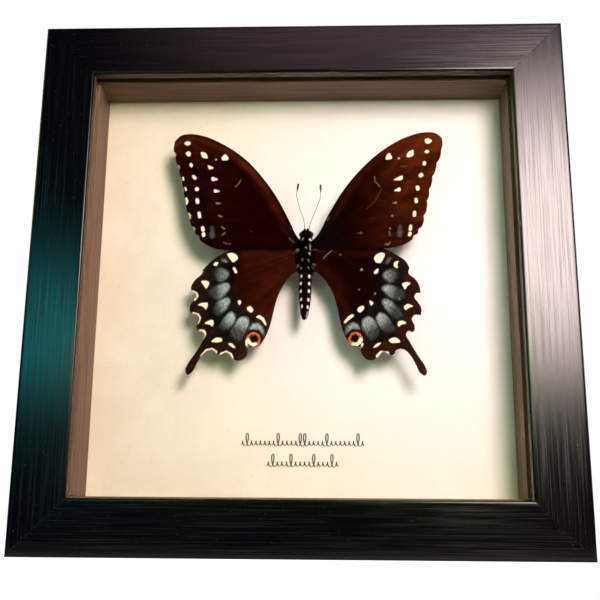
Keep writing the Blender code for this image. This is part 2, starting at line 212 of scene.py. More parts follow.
def effect(name, inputs, outputs):
    """An empty node group with named number inputs (name: default) and outputs (name: type)."""
    group = bpy.data.node_groups.new(name, "ShaderNodeTree")
    for key, value in inputs.items():
        kind = "NodeSocketVector" if value == "vector" else "NodeSocketFloat"
        socket = group.interface.new_socket(key, in_out="INPUT", socket_type=kind)
        if kind == "NodeSocketFloat":
            socket.default_value = value
    for key, kind in outputs.items():
        group.interface.new_socket(key, in_out="OUTPUT", socket_type=f"NodeSocket{kind}")
    return group, add(group, "NodeGroupInput").outputs, add(group, "NodeGroupOutput").inputs

def use(tree, group, inputs):
    """Places a group in a material and returns its outputs."""
    return add(tree, "ShaderNodeGroup", inputs, node_tree=group).outputs

print("helpers ready")

# %% [markdown]
# ## Effects that several finishes share
#
# Open pores run through all the wood, fine specks and clouds lie on nearly every surface, and
# hairline scratches on the metals. Each effect is a group with its own inputs, so one recipe
# serves many materials at different scales.

# %% Open grain
def open_grain_group():
    """Long dark pores: noise stretched along the grain, kept only where it is low.

    Across and Along are cycles for each metre. A pore is full where the noise is below
    Coverage, and has faded out a fifth above it."""
    group, given, out = effect("open_grain", {"Place": "vector", "Along": 26.0, "Across": 2300.0,
                                              "Coverage": 0.35},
                               {"Pores": "Float", "Figure": "Float"})
    squash = add(group, "ShaderNodeCombineXYZ", {0: given["Along"], 1: given["Across"],
                                                 2: given["Across"]}).outputs[0]
    where = add(group, "ShaderNodeVectorMath", {0: given["Place"], 1: squash},
                operation="MULTIPLY").outputs[0]
    lines = noise(group, where, 1.0, 3.0, 0.55)
    high = maths(group, "ADD", given["Coverage"], 0.2)
    pores = add(group, "ShaderNodeMapRange", {"Value": lines, "From Min": given["Coverage"],
                                              "From Max": high, "To Min": 1.0, "To Max": 0.0})
    group.links.new(pores.outputs[0], out["Pores"])
    figure = noise(group, where, 0.17, 2.0, 0.5, 0.6)
    group.links.new(figure, out["Figure"])
    return group

open_grain = open_grain_group()
print("group", open_grain.name)

# %% Fine specks and fibres
def specks_group():
    """Tiny specks where a fast noise is high, and soft clouds for uneven tone."""
    group, given, out = effect("specks", {"Place": "vector", "Speck Scale": 900.0,
                                          "Cloud Scale": 40.0, "Amount": 0.66},
                               {"Specks": "Float", "Clouds": "Float", "Fibres": "Float"})
    fast = noise(group, given["Place"], given["Speck Scale"], 1.0, 0.4)
    top = maths(group, "ADD", given["Amount"], 0.06)
    speck = add(group, "ShaderNodeMapRange", {"Value": fast, "From Min": given["Amount"],
                                              "From Max": top})
    group.links.new(speck.outputs[0], out["Specks"])
    clouds = noise(group, given["Place"], given["Cloud Scale"], 4.0, 0.55, 0.3)
    group.links.new(clouds, out["Clouds"])
    lean = add(group, "ShaderNodeMapping", {"Vector": given["Place"], "Scale": (1.0, 1.0, 7.0),
                                            "Rotation": (0.0, 0.6, 0.0)}).outputs[0]
    fibres = noise(group, lean, given["Speck Scale"], 2.0, 0.5, 1.2)
    group.links.new(fibres, out["Fibres"])
    return group

specks = specks_group()
print("group", specks.name)

# %% Hairline scratches
def scratches_group():
    """Thin bright lines in two directions: stretched noise near its middle value."""
    group, given, out = effect("scratches", {"Place": "vector", "Scale": 500.0},
                               {"Lines": "Float", "Wear": "Float"})
    lines = []
    for angle in (0.15, 1.2):
        lean = add(group, "ShaderNodeMapping", {"Vector": given["Place"], "Rotation": (0, angle, 0),
                                                "Scale": (0.05, 1.0, 1.0)}).outputs[0]
        value = noise(group, lean, given["Scale"], 3.0, 0.6)
        away = maths(group, "ABSOLUTE", maths(group, "SUBTRACT", value, 0.5))
        lines.append(step_up(group, away, 0.0, 0.03, 1.0, 0.0))
    group.links.new(maths(group, "MAXIMUM", *lines), out["Lines"])
    group.links.new(noise(group, given["Place"], 60.0, 4.0, 0.6), out["Wear"])
    return group

scratches = scratches_group()
print("group", scratches.name)

# %% [markdown]
# ## From arrays to a mesh
#
# Every new piece is worked out as whole arrays: points by their place on a grid, and faces by
# counting along the grid. Points that fall together at a pole or an edge are merged, so that
# each piece is closed.

# %% Helpers for meshes
def grid_faces(rows, columns, around=False):
    """Four corners of each cell of a grid whose points are numbered row by row.

    With around, the last column joins the first one."""
    number = np.arange(rows * columns).reshape(rows, columns)
    if around:
        number = np.hstack([number, number[:, :1]])
    return np.stack([number[:-1, :-1], number[:-1, 1:], number[1:, 1:], number[1:, :-1]],
                    axis=-1).reshape(-1, 4)

def volume(points, faces):
    """The volume inside faces of one size: it is negative when they face inwards."""
    corners = points[faces]
    first, second, third = corners[:, :1], corners[:, 1:-1], corners[:, 2:]
    return (first * np.cross(second, third)).sum() / 6

def put_piece(name, finish, points, faces, uv=None, marks=None, smooth=True):
    """A mesh object from points (n, 3) in millimetres and faces, merged where points meet.

    faces is a list of arrays, each with faces of one size, turned outwards together. uv gives
    each point a place in the map "run", and marks are numbers for each point."""
    points = np.asarray(points)
    if sum(volume(points - points[0], part) for part in faces) < 0:
        faces = [part[:, ::-1] for part in faces]
    loops = np.concatenate([part.reshape(-1) for part in faces])
    sizes = np.concatenate([np.full(len(part), part.shape[1]) for part in faces])
    mesh = bpy.data.meshes.new(name)
    mesh.vertices.add(len(points))
    mesh.vertices.foreach_set("co", (points * MM).astype(np.float32).ravel())
    mesh.loops.add(len(loops))
    mesh.loops.foreach_set("vertex_index", loops.astype(np.int32))
    mesh.polygons.add(len(sizes))
    mesh.polygons.foreach_set("loop_start", (np.cumsum(sizes) - sizes).astype(np.int32))
    mesh.update(calc_edges=True)
    if uv is not None:
        layer = mesh.uv_layers.new(name="run")
        layer.data.foreach_set("uv", (np.asarray(uv)[loops] * MM).astype(np.float32).ravel())
    for key, values in (marks or {}).items():
        data = mesh.attributes.new(key, "FLOAT", "POINT")
        data.data.foreach_set("value", np.asarray(values, np.float32))
    weld(mesh)
    mesh.polygons.foreach_set("use_smooth", np.full(len(mesh.polygons), smooth))
    mesh.materials.append(finish)
    piece = bpy.data.objects.new(name, mesh)
    bpy.context.scene.collection.objects.link(piece)
    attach(piece, "root")
    return piece

def weld(mesh):
    """Merges points at the same place and drops the faces that this flattens."""
    shape = bmesh.new()
    shape.from_mesh(mesh)
    bmesh.ops.remove_doubles(shape, verts=shape.verts, dist=2e-7)
    shape.to_mesh(mesh)
    shape.free()

def triangles(piece):
    """How many triangles a piece's mesh has."""
    return sum(len(face.vertices) - 2 for face in piece.data.polygons)

print("mesh helpers ready")

# %% Helpers for curves
def through(points, per=6):
    """A smooth line through points, with `per` steps between each two.

    Between two points it is the cubic whose slopes are the average of the directions on both
    sides, weighted by the nearness of the neighbours."""
    p = np.array(points, float)
    chord = np.linalg.norm(np.diff(p, axis=0), axis=1)[:, None]
    way = np.diff(p, axis=0) / chord
    middle = (way[:-1] * chord[1:] + way[1:] * chord[:-1]) / (chord[1:] + chord[:-1])
    slope = np.vstack([way[:1], middle, way[-1:]])
    t = np.linspace(0, 1, per, endpoint=False)[None, :, None]
    a, b = p[:-1, None], p[1:, None]
    slope_a, slope_b = (slope[:-1] * chord)[:, None], (slope[1:] * chord)[:, None]
    line = ((2 * t**3 - 3 * t**2 + 1) * a + (t**3 - 2 * t**2 + t) * slope_a
            + (3 * t**2 - 2 * t**3) * b + (t**3 - t**2) * slope_b)
    return np.vstack([line.reshape(-1, p.shape[1]), p[-1:]])

def runs(*parts, per=6):
    """Smooth lines joined at corners: each part starts where the one before it ends."""
    line = through(parts[0], per)
    for part in parts[1:]:
        line = np.vstack([line, through([line[-1], *part], per)[1:]])
    return line

def along_line(line):
    """The distance of each point of a line from its start, measured along it."""
    return np.concatenate([[0], np.cumsum(np.linalg.norm(np.diff(line, axis=0), axis=1))])

def evenly(line, step):
    """The same line with points about `step` apart; its ends stay."""
    run = along_line(line)
    places = np.linspace(0, run[-1], max(2, int(round(run[-1] / step)) + 1))
    return np.stack([np.interp(places, run, line[:, k]) for k in range(line.shape[1])], 1)

print("curve helpers ready")

# %% [markdown]
# ## Stage and light
#
# A pale floor and a white room. The key is a large warm panel in front on the right: it makes
# the shadows and the bright sheen on the right rail. A weak blue-green one on the left shines in
# the left rail, a dim one overhead in the top rail, and a green glow and two small front panels
# lighten the shadows. Their edges fade, because lacquer would mirror a hard edge. The last four
# light the side, the back and the top, which the front view hardly sees. The floor ends just in
# front of the object, so that the bottom rail doesn't mirror it.

# %% Floor and room
floor_material, tree, shader = material("floor", roughness=0.8)
shader.inputs["Base Color"].default_value = (0.86, 0.86, 0.85, 1.0)
seen = add(tree, "ShaderNodeLightPath").outputs["Is Camera Ray"]
shader.inputs["Emission Color"].default_value = (1.0, 1.0, 1.0, 1.0)
tree.links.new(maths(tree, "MULTIPLY", seen, 0.85), shader.inputs["Emission Strength"])
floor_mesh = bpy.data.meshes.new("floor")
SPREAD, FLOOR_FRONT, FLOOR_BACK = 0.9, -0.05, 1.2
floor_mesh.from_pydata([(-SPREAD, FLOOR_FRONT, 0), (SPREAD, FLOOR_FRONT, 0),
                        (SPREAD, FLOOR_BACK, 0), (-SPREAD, FLOOR_BACK, 0)], [], [(0, 1, 2, 3)])
floor_mesh.materials.append(floor_material)
floor = bpy.data.objects.new("floor", floor_mesh)
bpy.context.scene.collection.objects.link(floor)
floor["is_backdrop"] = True

room = bpy.data.worlds.new("room")
bpy.context.scene.world = room
room.use_nodes = True
tree = room.node_tree
seen = add(tree, "ShaderNodeLightPath").outputs["Is Camera Ray"]
white = add(tree, "ShaderNodeBackground", {"Color": (1, 1, 1, 1), "Strength": 1.0})
dim = add(tree, "ShaderNodeBackground", {"Color": (0.5, 0.5, 1.0, 1), "Strength": 0.03})
both = add(tree, "ShaderNodeMixShader", {0: seen, 1: dim.outputs[0], 2: white.outputs[0]})
tree.links.new(both.outputs[0], tree.nodes["World Output"].inputs[0])
print("floor and room ready")

# %% Soft panels of light
FADE_START, FADE_END = 0.12, 0.5

def soft_panel(name, place, width, height, radiance, colour):
    """A rectangular light, aimed at TARGET, that fades to its edges; lengths in metres."""
    data = bpy.data.lights.new(name, "AREA")
    data.shape = "RECTANGLE"
    data.size, data.size_y = width, height
    data.energy = radiance * math.pi * width * height
    data.color = colour
    data.use_nodes = True
    tree = data.node_tree
    across = add(tree, "ShaderNodeNewGeometry").outputs["Parametric"]
    off = add(tree, "ShaderNodeVectorMath", {0: across, 1: (0.5, 0.5, 0.0)},
              operation="DISTANCE").outputs["Value"]
    tree.links.new(step_up(tree, off, FADE_START, FADE_END, 1.0, 0.0),
                   tree.nodes["Emission"].inputs["Strength"])
    panel = bpy.data.objects.new(name, data)
    bpy.context.scene.collection.objects.link(panel)
    panel.location = place
    panel.rotation_euler = (Vector(TARGET) - Vector(place)).to_track_quat("-Z", "Y").to_euler()

TARGET = (0.0, 0.0, 0.09)
PANELS = {  # place, width, height, radiance, colour
    "key": ((0.205, -0.512, 0.265), 0.289, 0.359, 27.0, (1.0, 0.82, 0.79)),
    "front_right": ((0.11, -0.53, 0.145), 0.13, 0.12, 9.5, (0.5, 1.0, 0.08)),
    "front_left": ((-0.14, -0.53, 0.145), 0.13, 0.12, 5.0, (1.0, 0.8, 0.3)),
    "fill": ((-0.42, -1.0, 0.28), 0.42, 0.28, 3.0, (0.05, 0.96, 1.0)),
    "glow": ((-1.1, -0.5, 0.6), 0.70, 0.70, 3.5, (0.6, 1.0, 0.1)),
    "ceiling": ((0.07, -0.70, 0.60), 0.75, 0.22, 1.5, (1.0, 0.62, 0.62)),
    "side_right": ((0.85, -0.12, 0.22), 0.5, 0.5, 3.0, (1.0, 0.80, 0.72)),
    "back_left": ((-0.7, 0.9, 0.7), 0.8, 0.8, 5.0, (1.0, 0.97, 0.92)),
    "back_right": ((0.8, 0.8, 0.5), 0.8, 0.8, 4.0, (0.92, 0.96, 1.0)),
    "top": ((0.1, 0.35, 1.2), 0.8, 0.8, 4.0, (1.0, 1.0, 1.0))}
for name, panel in PANELS.items():
    soft_panel(name, *panel)
print("lights:", [light.name for light in bpy.data.lights])

# %% [markdown]
# ## The rails
#
# Each rail is one stick of oak with an L-shaped section: a lip in front holds the glass, and
# the wall behind it makes the depth of the box. Its ends are cut at 45 degrees. The section is
# drawn once as a loop with rounded arrises and carried along the rail, and each end follows the
# mitre because a point's distance from the outer face sets how far it reaches. Carrying the
# loop gives a map for the grain that runs along the stick and turns over its edges.

# %% Section of a rail
RAIL_STEP = 0.45

def rounded_loop(corners, step, turns=6):
    """A closed outline with right-angled corners (y, w, radius) turned into quarter circles."""
    c = np.array(corners)
    p, r = c[:, :2], c[:, 2:]
    back, on = np.roll(p, 1, 0) - p, np.roll(p, -1, 0) - p
    back = back / np.linalg.norm(back, axis=1)[:, None]
    on = on / np.linalg.norm(on, axis=1)[:, None]
    angle = np.linspace(0, math.pi / 2, turns + 1)[None, :, None]
    arcs = (p + (back + on) * r)[:, None] - r[:, None] * (
        on[:, None] * np.cos(angle) + back[:, None] * np.sin(angle))
    line = []
    for k, bend in enumerate(arcs):
        straight = evenly(np.array([bend[-1], arcs[(k + 1) % len(arcs)][0]]), step)
        line += [bend, straight[1:-1]]
    return np.vstack(line + [arcs[0][:1]])

section = rounded_loop([(FRONT, FACE_WIDTH, 0.7), (FRONT, 0, 0.8), (BACK, 0, 0.5),
                        (BACK, WALL, 0.5), (FRONT + LIP_DEPTH, WALL, 0.1),
                        (FRONT + LIP_DEPTH, FACE_WIDTH, 0.25)], RAIL_STEP)
print("section points:", len(section))

# %% Rails
MITRE_GAP = 0.05
MITRE_BREAK, MITRE_SOFT = 0.18, 0.015
END_ROWS = np.array([0.0, 0.05, 0.12, 0.2, 0.3, 0.6, 1.2, 2.5])
MIDDLE_ROWS = 88
HOLLOW, HOLLOW_SIZE, HOLLOW_LONG, HOLLOW_SEED = 0.006, 5.0, 9, 20
GRAIN_APART = 400

def ripple(points, size, seed, waves=24):
    """A smooth random field of about unit height: cosines in seeded directions, added up."""
    dice = np.random.default_rng(seed)
    angle = dice.uniform(0, 2 * math.pi, waves)
    pace = 2 * math.pi / (size * dice.uniform(0.6, 1.7, waves))
    way = np.stack([np.cos(angle), np.sin(angle)]) * pace
    return np.cos(points @ way + dice.uniform(0, 2 * math.pi, waves)).sum(-1) / math.sqrt(waves)

def rail(name, quarter, finish):
    """A section loop carried along a mitred stick, then turned by quarters about the middle.

    A point at distance w from the outer face reaches x = side * (half - w - d), where d is
    the row's distance from the mitre. The section shrinks a little near the mitre, its faces
    have slight hollows, and each rail's map starts elsewhere, so that no two grains match."""
    share = np.concatenate([np.full(len(END_ROWS), -1.0),
                            np.linspace(-1, 1, MIDDLE_ROWS + 2)[1:-1],
                            np.full(len(END_ROWS), 1.0)])
    short = np.concatenate([END_ROWS, np.full(MIDDLE_ROWS, END_ROWS[-1]), END_ROWS[::-1]])
    way = np.gradient(section, axis=0)
    inward = np.stack([-way[:, 1], way[:, 0]], 1) / np.linalg.norm(way, axis=1)[:, None]
    soft = MITRE_SOFT * np.clip(1 - short / MITRE_BREAK, 0, 1)**2
    around = along_line(section)
    x = share[:, None] * (HALF - MITRE_GAP - section[:, 1] - short[:, None])
    where = np.stack([x / HOLLOW_LONG, np.broadcast_to(around, x.shape)], -1)
    hollow = soft[:, None] + HOLLOW * ripple(where, HOLLOW_SIZE, HOLLOW_SEED + quarter)
    y = section[:, 0] + inward[:, 0] * hollow
    w = section[:, 1] + inward[:, 1] * hollow
    z = w - HALF
    for _ in range(quarter):
        x, z = z, -x
    points = np.stack([x, y, z + HALF], -1).reshape(-1, 3)
    rows, columns = x.shape
    along = share[:, None] * (HALF - short[:, None]) + GRAIN_APART * quarter
    uv = np.stack([np.broadcast_to(along, x.shape), np.broadcast_to(around, x.shape)], -1)
    first = np.arange(columns - 1)
    return put_piece(name, finish, points,
                     [grid_faces(rows, columns), first[None, ::-1],
                      first[None] + (rows - 1) * columns], uv=uv.reshape(-1, 2))

BLACK_LACQUER = (0.0006, 0.0003, 0.0012)
BARE_WOOD = (0.11, 0.065, 0.04)
DUST = (0.05, 0.047, 0.045)

def lacquered_wood(name, uv="", turn=(0.0, 0.0, 0.0), colour=BLACK_LACQUER,
                   gloss=0.11, level=0.5, bare_from=0.0):
    """Lacquer over open-pored wood: pores show as long, fine, duller lines.

    Where the map's second coordinate is past bare_from, the lacquer gives way to brown."""
    made, tree, shader = material(name, specular_ior_level=level)
    where = places(tree, uv=uv, turn=turn)
    grain = use(tree, open_grain, {"Place": where})
    wear = use(tree, specks, {"Place": where, "Speck Scale": 1500.0, "Cloud Scale": 25.0,
                              "Amount": 0.72})
    lacquer = mix(tree, grain["Figure"], colour, tuple(c * 1.6 for c in colour))
    shade = mix(tree, grain["Pores"], lacquer, tuple(c * 0.6 for c in colour))
    shade = mix(tree, wear["Specks"], shade, DUST)
    dull = maths(tree, "MULTIPLY_ADD", grain["Pores"], 0.14, gloss)
    dull = maths(tree, "MULTIPLY_ADD", wear["Clouds"], 0.06, dull)
    if bare_from:
        over = add(tree, "ShaderNodeSeparateXYZ", {0: where}).outputs[1]
        bare = step_up(tree, over, (bare_from - 0.2) * MM, bare_from * MM)
        shade = mix(tree, bare, shade, BARE_WOOD)
        dull = maths(tree, "MULTIPLY_ADD", bare, 0.45, dull)
    low = maths(tree, "SUBTRACT", 1.0, grain["Pores"])
    finish_with(tree, shader, colour=shade, roughness=dull,
                normal=bump(tree, low, 0.000005))
    return made

LIP_START = along_line(section)[-1] - LIP_DEPTH
rail_lacquer = lacquered_wood("black_oak_lacquer", uv="run", bare_from=LIP_START)
for quarter, node in enumerate(("rail_bottom", "rail_left", "rail_top", "rail_right")):
    piece = rail(node.replace("rail", "oak_rail"), quarter, rail_lacquer)
    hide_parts(node)
    print(piece.name, triangles(piece), "triangles")

# %% [markdown]
# ## What the rails hold
#
# The glass, the spacer strips, the paper, the boards and the fittings are flat goods whose
# shape is already right, so they stay as packed and only get their finishes.

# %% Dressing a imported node
def dress(finish, *names):
    """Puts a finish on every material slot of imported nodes."""
    for name in names:
        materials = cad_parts[name].data.materials
        for slot in range(len(materials)):
            materials[slot] = finish

SPACER_BROWN = (0.125, 0.071, 0.042)
dress(lacquered_wood("spacer_stain_level", colour=SPACER_BROWN, gloss=0.5, level=0.25),
      "spacer_top", "spacer_bottom")
dress(lacquered_wood("spacer_stain_upright", turn=(0.0, math.pi / 2, 0.0),
                     colour=SPACER_BROWN, gloss=0.5, level=0.25),
      "spacer_left", "spacer_right")
print("spacers dressed")

# %% Glass
def picture_glass():
    """Coated clear glass: almost no mirror, a faint cloudy tint and a few specks of dust.

    The coating is modelled by an index close to that of air. Light passes through the pane
    without a dark shadow."""
    made, tree, shader = material("picture_glass", roughness=0.0, transmission_weight=1.0,
                                  ior=1.025)
    given = use(tree, specks, {"Place": places(tree), "Speck Scale": 700.0,
                               "Cloud Scale": 30.0, "Amount": 0.74})
    tint = mix(tree, given["Clouds"], (0.985, 0.995, 0.99), (1.0, 1.0, 1.0))
    tint = mix(tree, maths(tree, "MULTIPLY", given["Specks"], 0.15), tint, (0.6, 0.6, 0.58))
    finish_with(tree, shader, colour=tint)
    shadow = add(tree, "ShaderNodeLightPath").outputs["Is Shadow Ray"]
    clear = add(tree, "ShaderNodeBsdfTransparent")
    both = add(tree, "ShaderNodeMixShader", {0: shadow, 1: shader.outputs[0],
                                             2: clear.outputs[0]})
    tree.links.new(both.outputs[0], tree.nodes["Material Output"].inputs[0])
    return made

dress(picture_glass(), "glass_pane")
print("glass dressed")

# %% Paper and boards
def sheet(name, light, dark, speck, cloud_scale=35.0, rough=0.85, depth=0.00003, amount=0.7):
    """A paper or board: soft clouds between two tones, tiny specks and raised fibres."""
    made, tree, shader = material(name, specular_ior_level=0.2)
    given = use(tree, specks, {"Place": places(tree), "Cloud Scale": cloud_scale,
                               "Amount": amount})
    tone = mix(tree, step_up(tree, given["Clouds"], 0.32, 0.68), dark, light)
    tone = mix(tree, maths(tree, "MULTIPLY", given["Specks"], 0.5), tone, speck)
    dull = maths(tree, "MULTIPLY_ADD", given["Fibres"], 0.1, rough - 0.05)
    finish_with(tree, shader, colour=tone, roughness=dull,
                normal=bump(tree, given["Fibres"], depth))
    return made

def parchment():
    """Parchment: cream and cloudy, with a wide painted pool of light right of the middle.

    The share of the painted light falls smoothly with the distance from the pool's centre, in
    metres between the pool's two reach distances."""
    made = sheet("parchment_paper", (0.74, 0.685, 0.54), (0.665, 0.60, 0.455),
                 (0.56, 0.48, 0.33))
    tree = made.node_tree
    shader = tree.nodes["Principled BSDF"]
    tone = shader.inputs["Base Color"].links[0].from_socket
    centre = tuple(-c * MM for c in (LIT_POOL_CENTRE[0], PAPER, LIT_POOL_CENTRE[1]))
    away = add(tree, "ShaderNodeMapping", {"Vector": add(tree, "ShaderNodeTexCoord").outputs[
        "Object"], "Location": centre}).outputs[0]
    reach = add(tree, "ShaderNodeVectorMath", {0: away}, operation="LENGTH").outputs["Value"]
    # Painted light: the paper turns paler in a pool round its centre, as if a lamp lit it more there;
    # a slow cloud breaks the pool's rim.
    cloud = noise(tree, places(tree), 16.0, 3.0, 0.6)
    reach = maths(tree, "MULTIPLY_ADD", cloud, 0.05, maths(tree, "SUBTRACT", reach, 0.025))
    pale = step_up(tree, reach, *LIT_POOL_REACH, 1.0, 0.0)
    finish_with(tree, shader, colour=mix(tree, pale, tone, LIT_POOL_TONE))
    return made

# Painted pool of light on the paper: its centre (x, z in millimetres), its reach in metres and its
# tone.
LIT_POOL_CENTRE = (48.0, 98.0)
LIT_POOL_REACH = (0.012, 0.135)
LIT_POOL_TONE = (0.80, 0.79, 0.83)
dress(parchment(), "backing_paper")
dress(sheet("white_foam_board", (0.82, 0.81, 0.78), (0.78, 0.77, 0.73), (0.6, 0.58, 0.55)),
      "mount_board")
dress(sheet("brown_fibreboard", (0.25, 0.145, 0.07), (0.17, 0.095, 0.045), (0.08, 0.045, 0.02),
            cloud_scale=90.0, rough=0.75, depth=0.00008, amount=0.6), "back_board")
dress(sheet("white_pad_foam", (0.80, 0.78, 0.72), (0.70, 0.68, 0.62), (0.5, 0.48, 0.44),
            cloud_scale=400.0, depth=0.0001, amount=0.55), "mounting_pad")
print("paper and boards dressed")

# %% Metal fittings
def worn_metal(name, colour, tarnish, gloss):
    """A plated or rolled metal with hairline scratches and cloudy tarnish."""
    made, tree, shader = material(name, metallic=1.0)
    given = use(tree, scratches, {"Place": places(tree), "Scale": 900.0})
    worn = step_up(tree, given["Wear"], 0.4, 0.7)
    dull = maths(tree, "MULTIPLY_ADD", worn, 0.2, gloss)
    dull = maths(tree, "MULTIPLY_ADD", given["Lines"], 0.1, dull)
    finish_with(tree, shader, colour=mix(tree, worn, colour, tarnish), roughness=dull,
                normal=bump(tree, given["Lines"], 0.000004))
    return made

steel = worn_metal("rolled_steel", (0.46, 0.46, 0.47), (0.28, 0.27, 0.26), 0.32)
dress(steel, *(f"tab_{k}" for k in range(1, 9)))
dress(worn_metal("brass_plate", (0.72, 0.52, 0.22), (0.42, 0.28, 0.12), 0.26), "sawtooth_hanger")
dress(worn_metal("zinc_nail", (0.58, 0.58, 0.56), (0.36, 0.35, 0.33), 0.3),
      "hanger_nail_left", "hanger_nail_right")
print("metals dressed")

# %% [markdown]
# ## Wings: outline
#
# A butterfly's wing is a thin stiff sheet. Its front edge is one smooth curve, and its outer
# edge has a lobe at the end of each vein with a bite between two lobes. The four wings aren't
# mirror images, because the specimen was set by hand. The outlines are measured outwards and
# upwards from the middle of the body, in millimetres, and smooth runs meet at the corners.

# %% Forewing outlines
def bitten(edge, places, depth=0.62, width=0.85):
    """An edge with a round bite at each place: the edge moves in by a bell of the distance."""
    line = evenly(edge, 0.25)
    way = np.gradient(line, axis=0)
    inward = np.stack([way[:, 1], -way[:, 0]], 1) / np.linalg.norm(way, axis=1)[:, None]
    far = np.linalg.norm(line[:, None] - np.array(places)[None], axis=2).min(1)
    return line + inward * (depth * np.exp(-(far / width)**2))[:, None]

left_fore = np.vstack([
    through([(-0.5, 0.0), (2.7, 3.2), (5.6, 9.0), (9.7, 17.0), (14.4, 24.0), (20.8, 31.3),
             (29.3, 37.4), (36.0, 40.4), (40.5, 41.2), (44.0, 40.6), (46.0, 38.6)]),
    bitten(through([(46.0, 38.6), (46.3, 35.6), (45.4, 31.5), (43.8, 26.5), (42.4, 21.0),
                    (41.5, 15.8), (40.1, 10.5), (38.2, 5.6), (35.6, 2.0), (33.0, 0.2)]),
           [(45.7, 33.6), (44.1, 28.9), (42.5, 24.5), (41.5, 20.8), (40.9, 16.4),
            (39.8, 10.9), (38.2, 6.1), (36.9, 3.4)])[1:],
    through([(33.0, 0.2), (30.0, -0.9), (26.0, -1.3), (20.0, -0.9), (10.0, -0.8),
             (2.6, -1.0), (-0.5, -1.4)])[1:]])

right_fore = np.vstack([
    through([(-0.5, 0.0), (3.5, 3.5), (7.7, 11.4), (12.3, 19.3), (18.9, 27.7), (27.6, 35.4),
             (35.3, 39.6), (41.2, 41.1), (45.0, 40.7), (47.0, 39.0)]),
    bitten(through([(47.0, 39.0), (47.2, 36.7), (46.6, 33.0), (45.0, 28.6), (43.6, 24.0),
                    (42.4, 19.4), (41.6, 15.2), (40.7, 11.0), (39.6, 7.2), (38.2, 4.6),
                    (36.6, 2.6), (34.1, 0.7)]),
           [(46.2, 34.6), (44.8, 29.8), (43.2, 24.6), (41.9, 20.0), (41.2, 16.0),
            (40.1, 10.4), (38.4, 5.6), (36.9, 3.1)], depth=0.68)[1:],
    through([(34.1, 0.7), (31.5, -0.3), (28.3, -0.9), (20.0, -1.0), (10.0, -0.9),
             (2.6, -1.0), (-0.5, -1.4)])[1:]])
print("forewing outlines:", len(left_fore), len(right_fore), "points")

# %% Hindwing outlines
left_hind = runs(
    [(0.0, 1.0), (10.0, 1.6), (20.0, 0.6), (27.0, -1.5), (32.7, -5.6), (34.8, -8.0)],
    [(34.9, -8.9), (37.4, -11.6), (38.5, -13.9), (38.3, -15.5)],
    [(37.0, -16.0), (36.5, -17.0), (37.3, -18.3), (38.6, -20.5), (38.4, -22.5), (37.7, -23.1)],
    [(36.2, -23.5), (35.3, -24.6), (35.6, -26.2), (36.3, -27.4), (35.8, -28.8)],
    [(34.3, -29.2), (33.3, -30.2), (33.9, -32.0), (36.5, -36.7), (38.7, -40.2), (39.4, -42.2),
     (38.6, -43.7), (37.3, -42.9), (35.5, -39.6), (33.8, -36.8), (32.1, -35.4), (30.8, -35.2),
     (29.6, -36.1)],
    [(28.7, -37.0), (27.9, -37.0)],
    [(26.1, -36.1), (24.9, -36.8), (24.1, -38.1)],
    [(22.6, -38.9), (20.8, -38.7), (19.3, -37.2), (19.0, -35.6), (19.6, -33.9)],
    [(18.4, -34.3), (16.7, -34.3), (15.1, -33.5), (13.5, -31.2), (11.9, -27.3), (10.9, -23.2),
     (10.0, -19.2), (8.6, -15.2), (6.8, -12.0), (4.6, -9.6), (0.0, -7.0)])

right_hind = runs(
    [(0.0, 1.0), (10.0, 1.6), (20.0, 0.8), (26.6, -0.9), (30.4, -2.9), (33.6, -5.4),
     (34.7, -7.5)],
    [(34.3, -9.3), (36.6, -11.5), (37.9, -14.0), (38.2, -16.2)],
    [(36.7, -16.4), (36.1, -17.6), (37.2, -19.4), (38.3, -21.6), (38.1, -23.8)],
    [(36.0, -23.8), (35.1, -25.2), (35.9, -27.2), (35.8, -29.0), (35.1, -29.6)],
    [(33.8, -29.1), (33.1, -30.0), (34.2, -32.6), (36.9, -37.4), (39.0, -40.8), (39.6, -42.7),
     (38.9, -43.9), (37.5, -43.2), (36.0, -40.2), (34.3, -37.2), (32.8, -35.6), (31.0, -35.0),
     (29.6, -35.5)],
    [(29.3, -36.5), (28.3, -37.1), (27.2, -36.7)],
    [(25.5, -36.0), (24.4, -36.8), (23.7, -37.9)],
    [(22.0, -38.8), (20.1, -38.5), (18.7, -36.9), (18.2, -35.0), (18.7, -33.8)],
    [(17.6, -34.3), (15.9, -34.1), (14.2, -32.4), (12.3, -28.6), (11.2, -24.2), (10.2, -19.4),
     (8.7, -15.0), (6.8, -12.0), (4.6, -9.6), (0.0, -7.0)])
print("hindwing outlines:", len(left_hind), len(right_hind), "points")

# %% [markdown]
# ## Wings: veins
#
# Hollow veins stiffen the sheet. They start at the root, close a long cell in the middle and
# fan out to the lobes. The sheet between two veins sinks a little, which is why a wing looks
# pleated. Both wings of a pair follow the same plan.

# %% Veins
FORE_VEINS = [through(line, 5) for line in (
    [(0.5, 0.6), (3.6, 3.6), (6.6, 9.0), (10.7, 16.7), (15.4, 23.5), (21.8, 30.6), (30, 36.4)],
    [(1, 0.5), (10, 13), (18, 21.5), (24.5, 26.5), (34, 36.5), (42, 40.5)],
    [(1, 0.2), (12, 8.5), (19.5, 14.5), (24, 18.5), (33, 18.2), (42, 18.4)],
    [(24.5, 26.5), (26, 23.5), (25.2, 20.5), (24, 18.5)],
    [(24.5, 26.5), (35, 34.8), (46, 36.5)], [(25.6, 25.5), (35, 30.8), (45.2, 31.3)],
    [(26, 23.5), (35, 26.5), (43.8, 26.8)], [(25.4, 21), (34, 22.2), (42.8, 22.6)],
    [(19.5, 14.5), (30, 13.4), (41.2, 13.4)], [(14, 10), (27, 8.9), (39.6, 8.2)],
    [(1, -0.2), (18, 3.2), (38, 4.6)])]
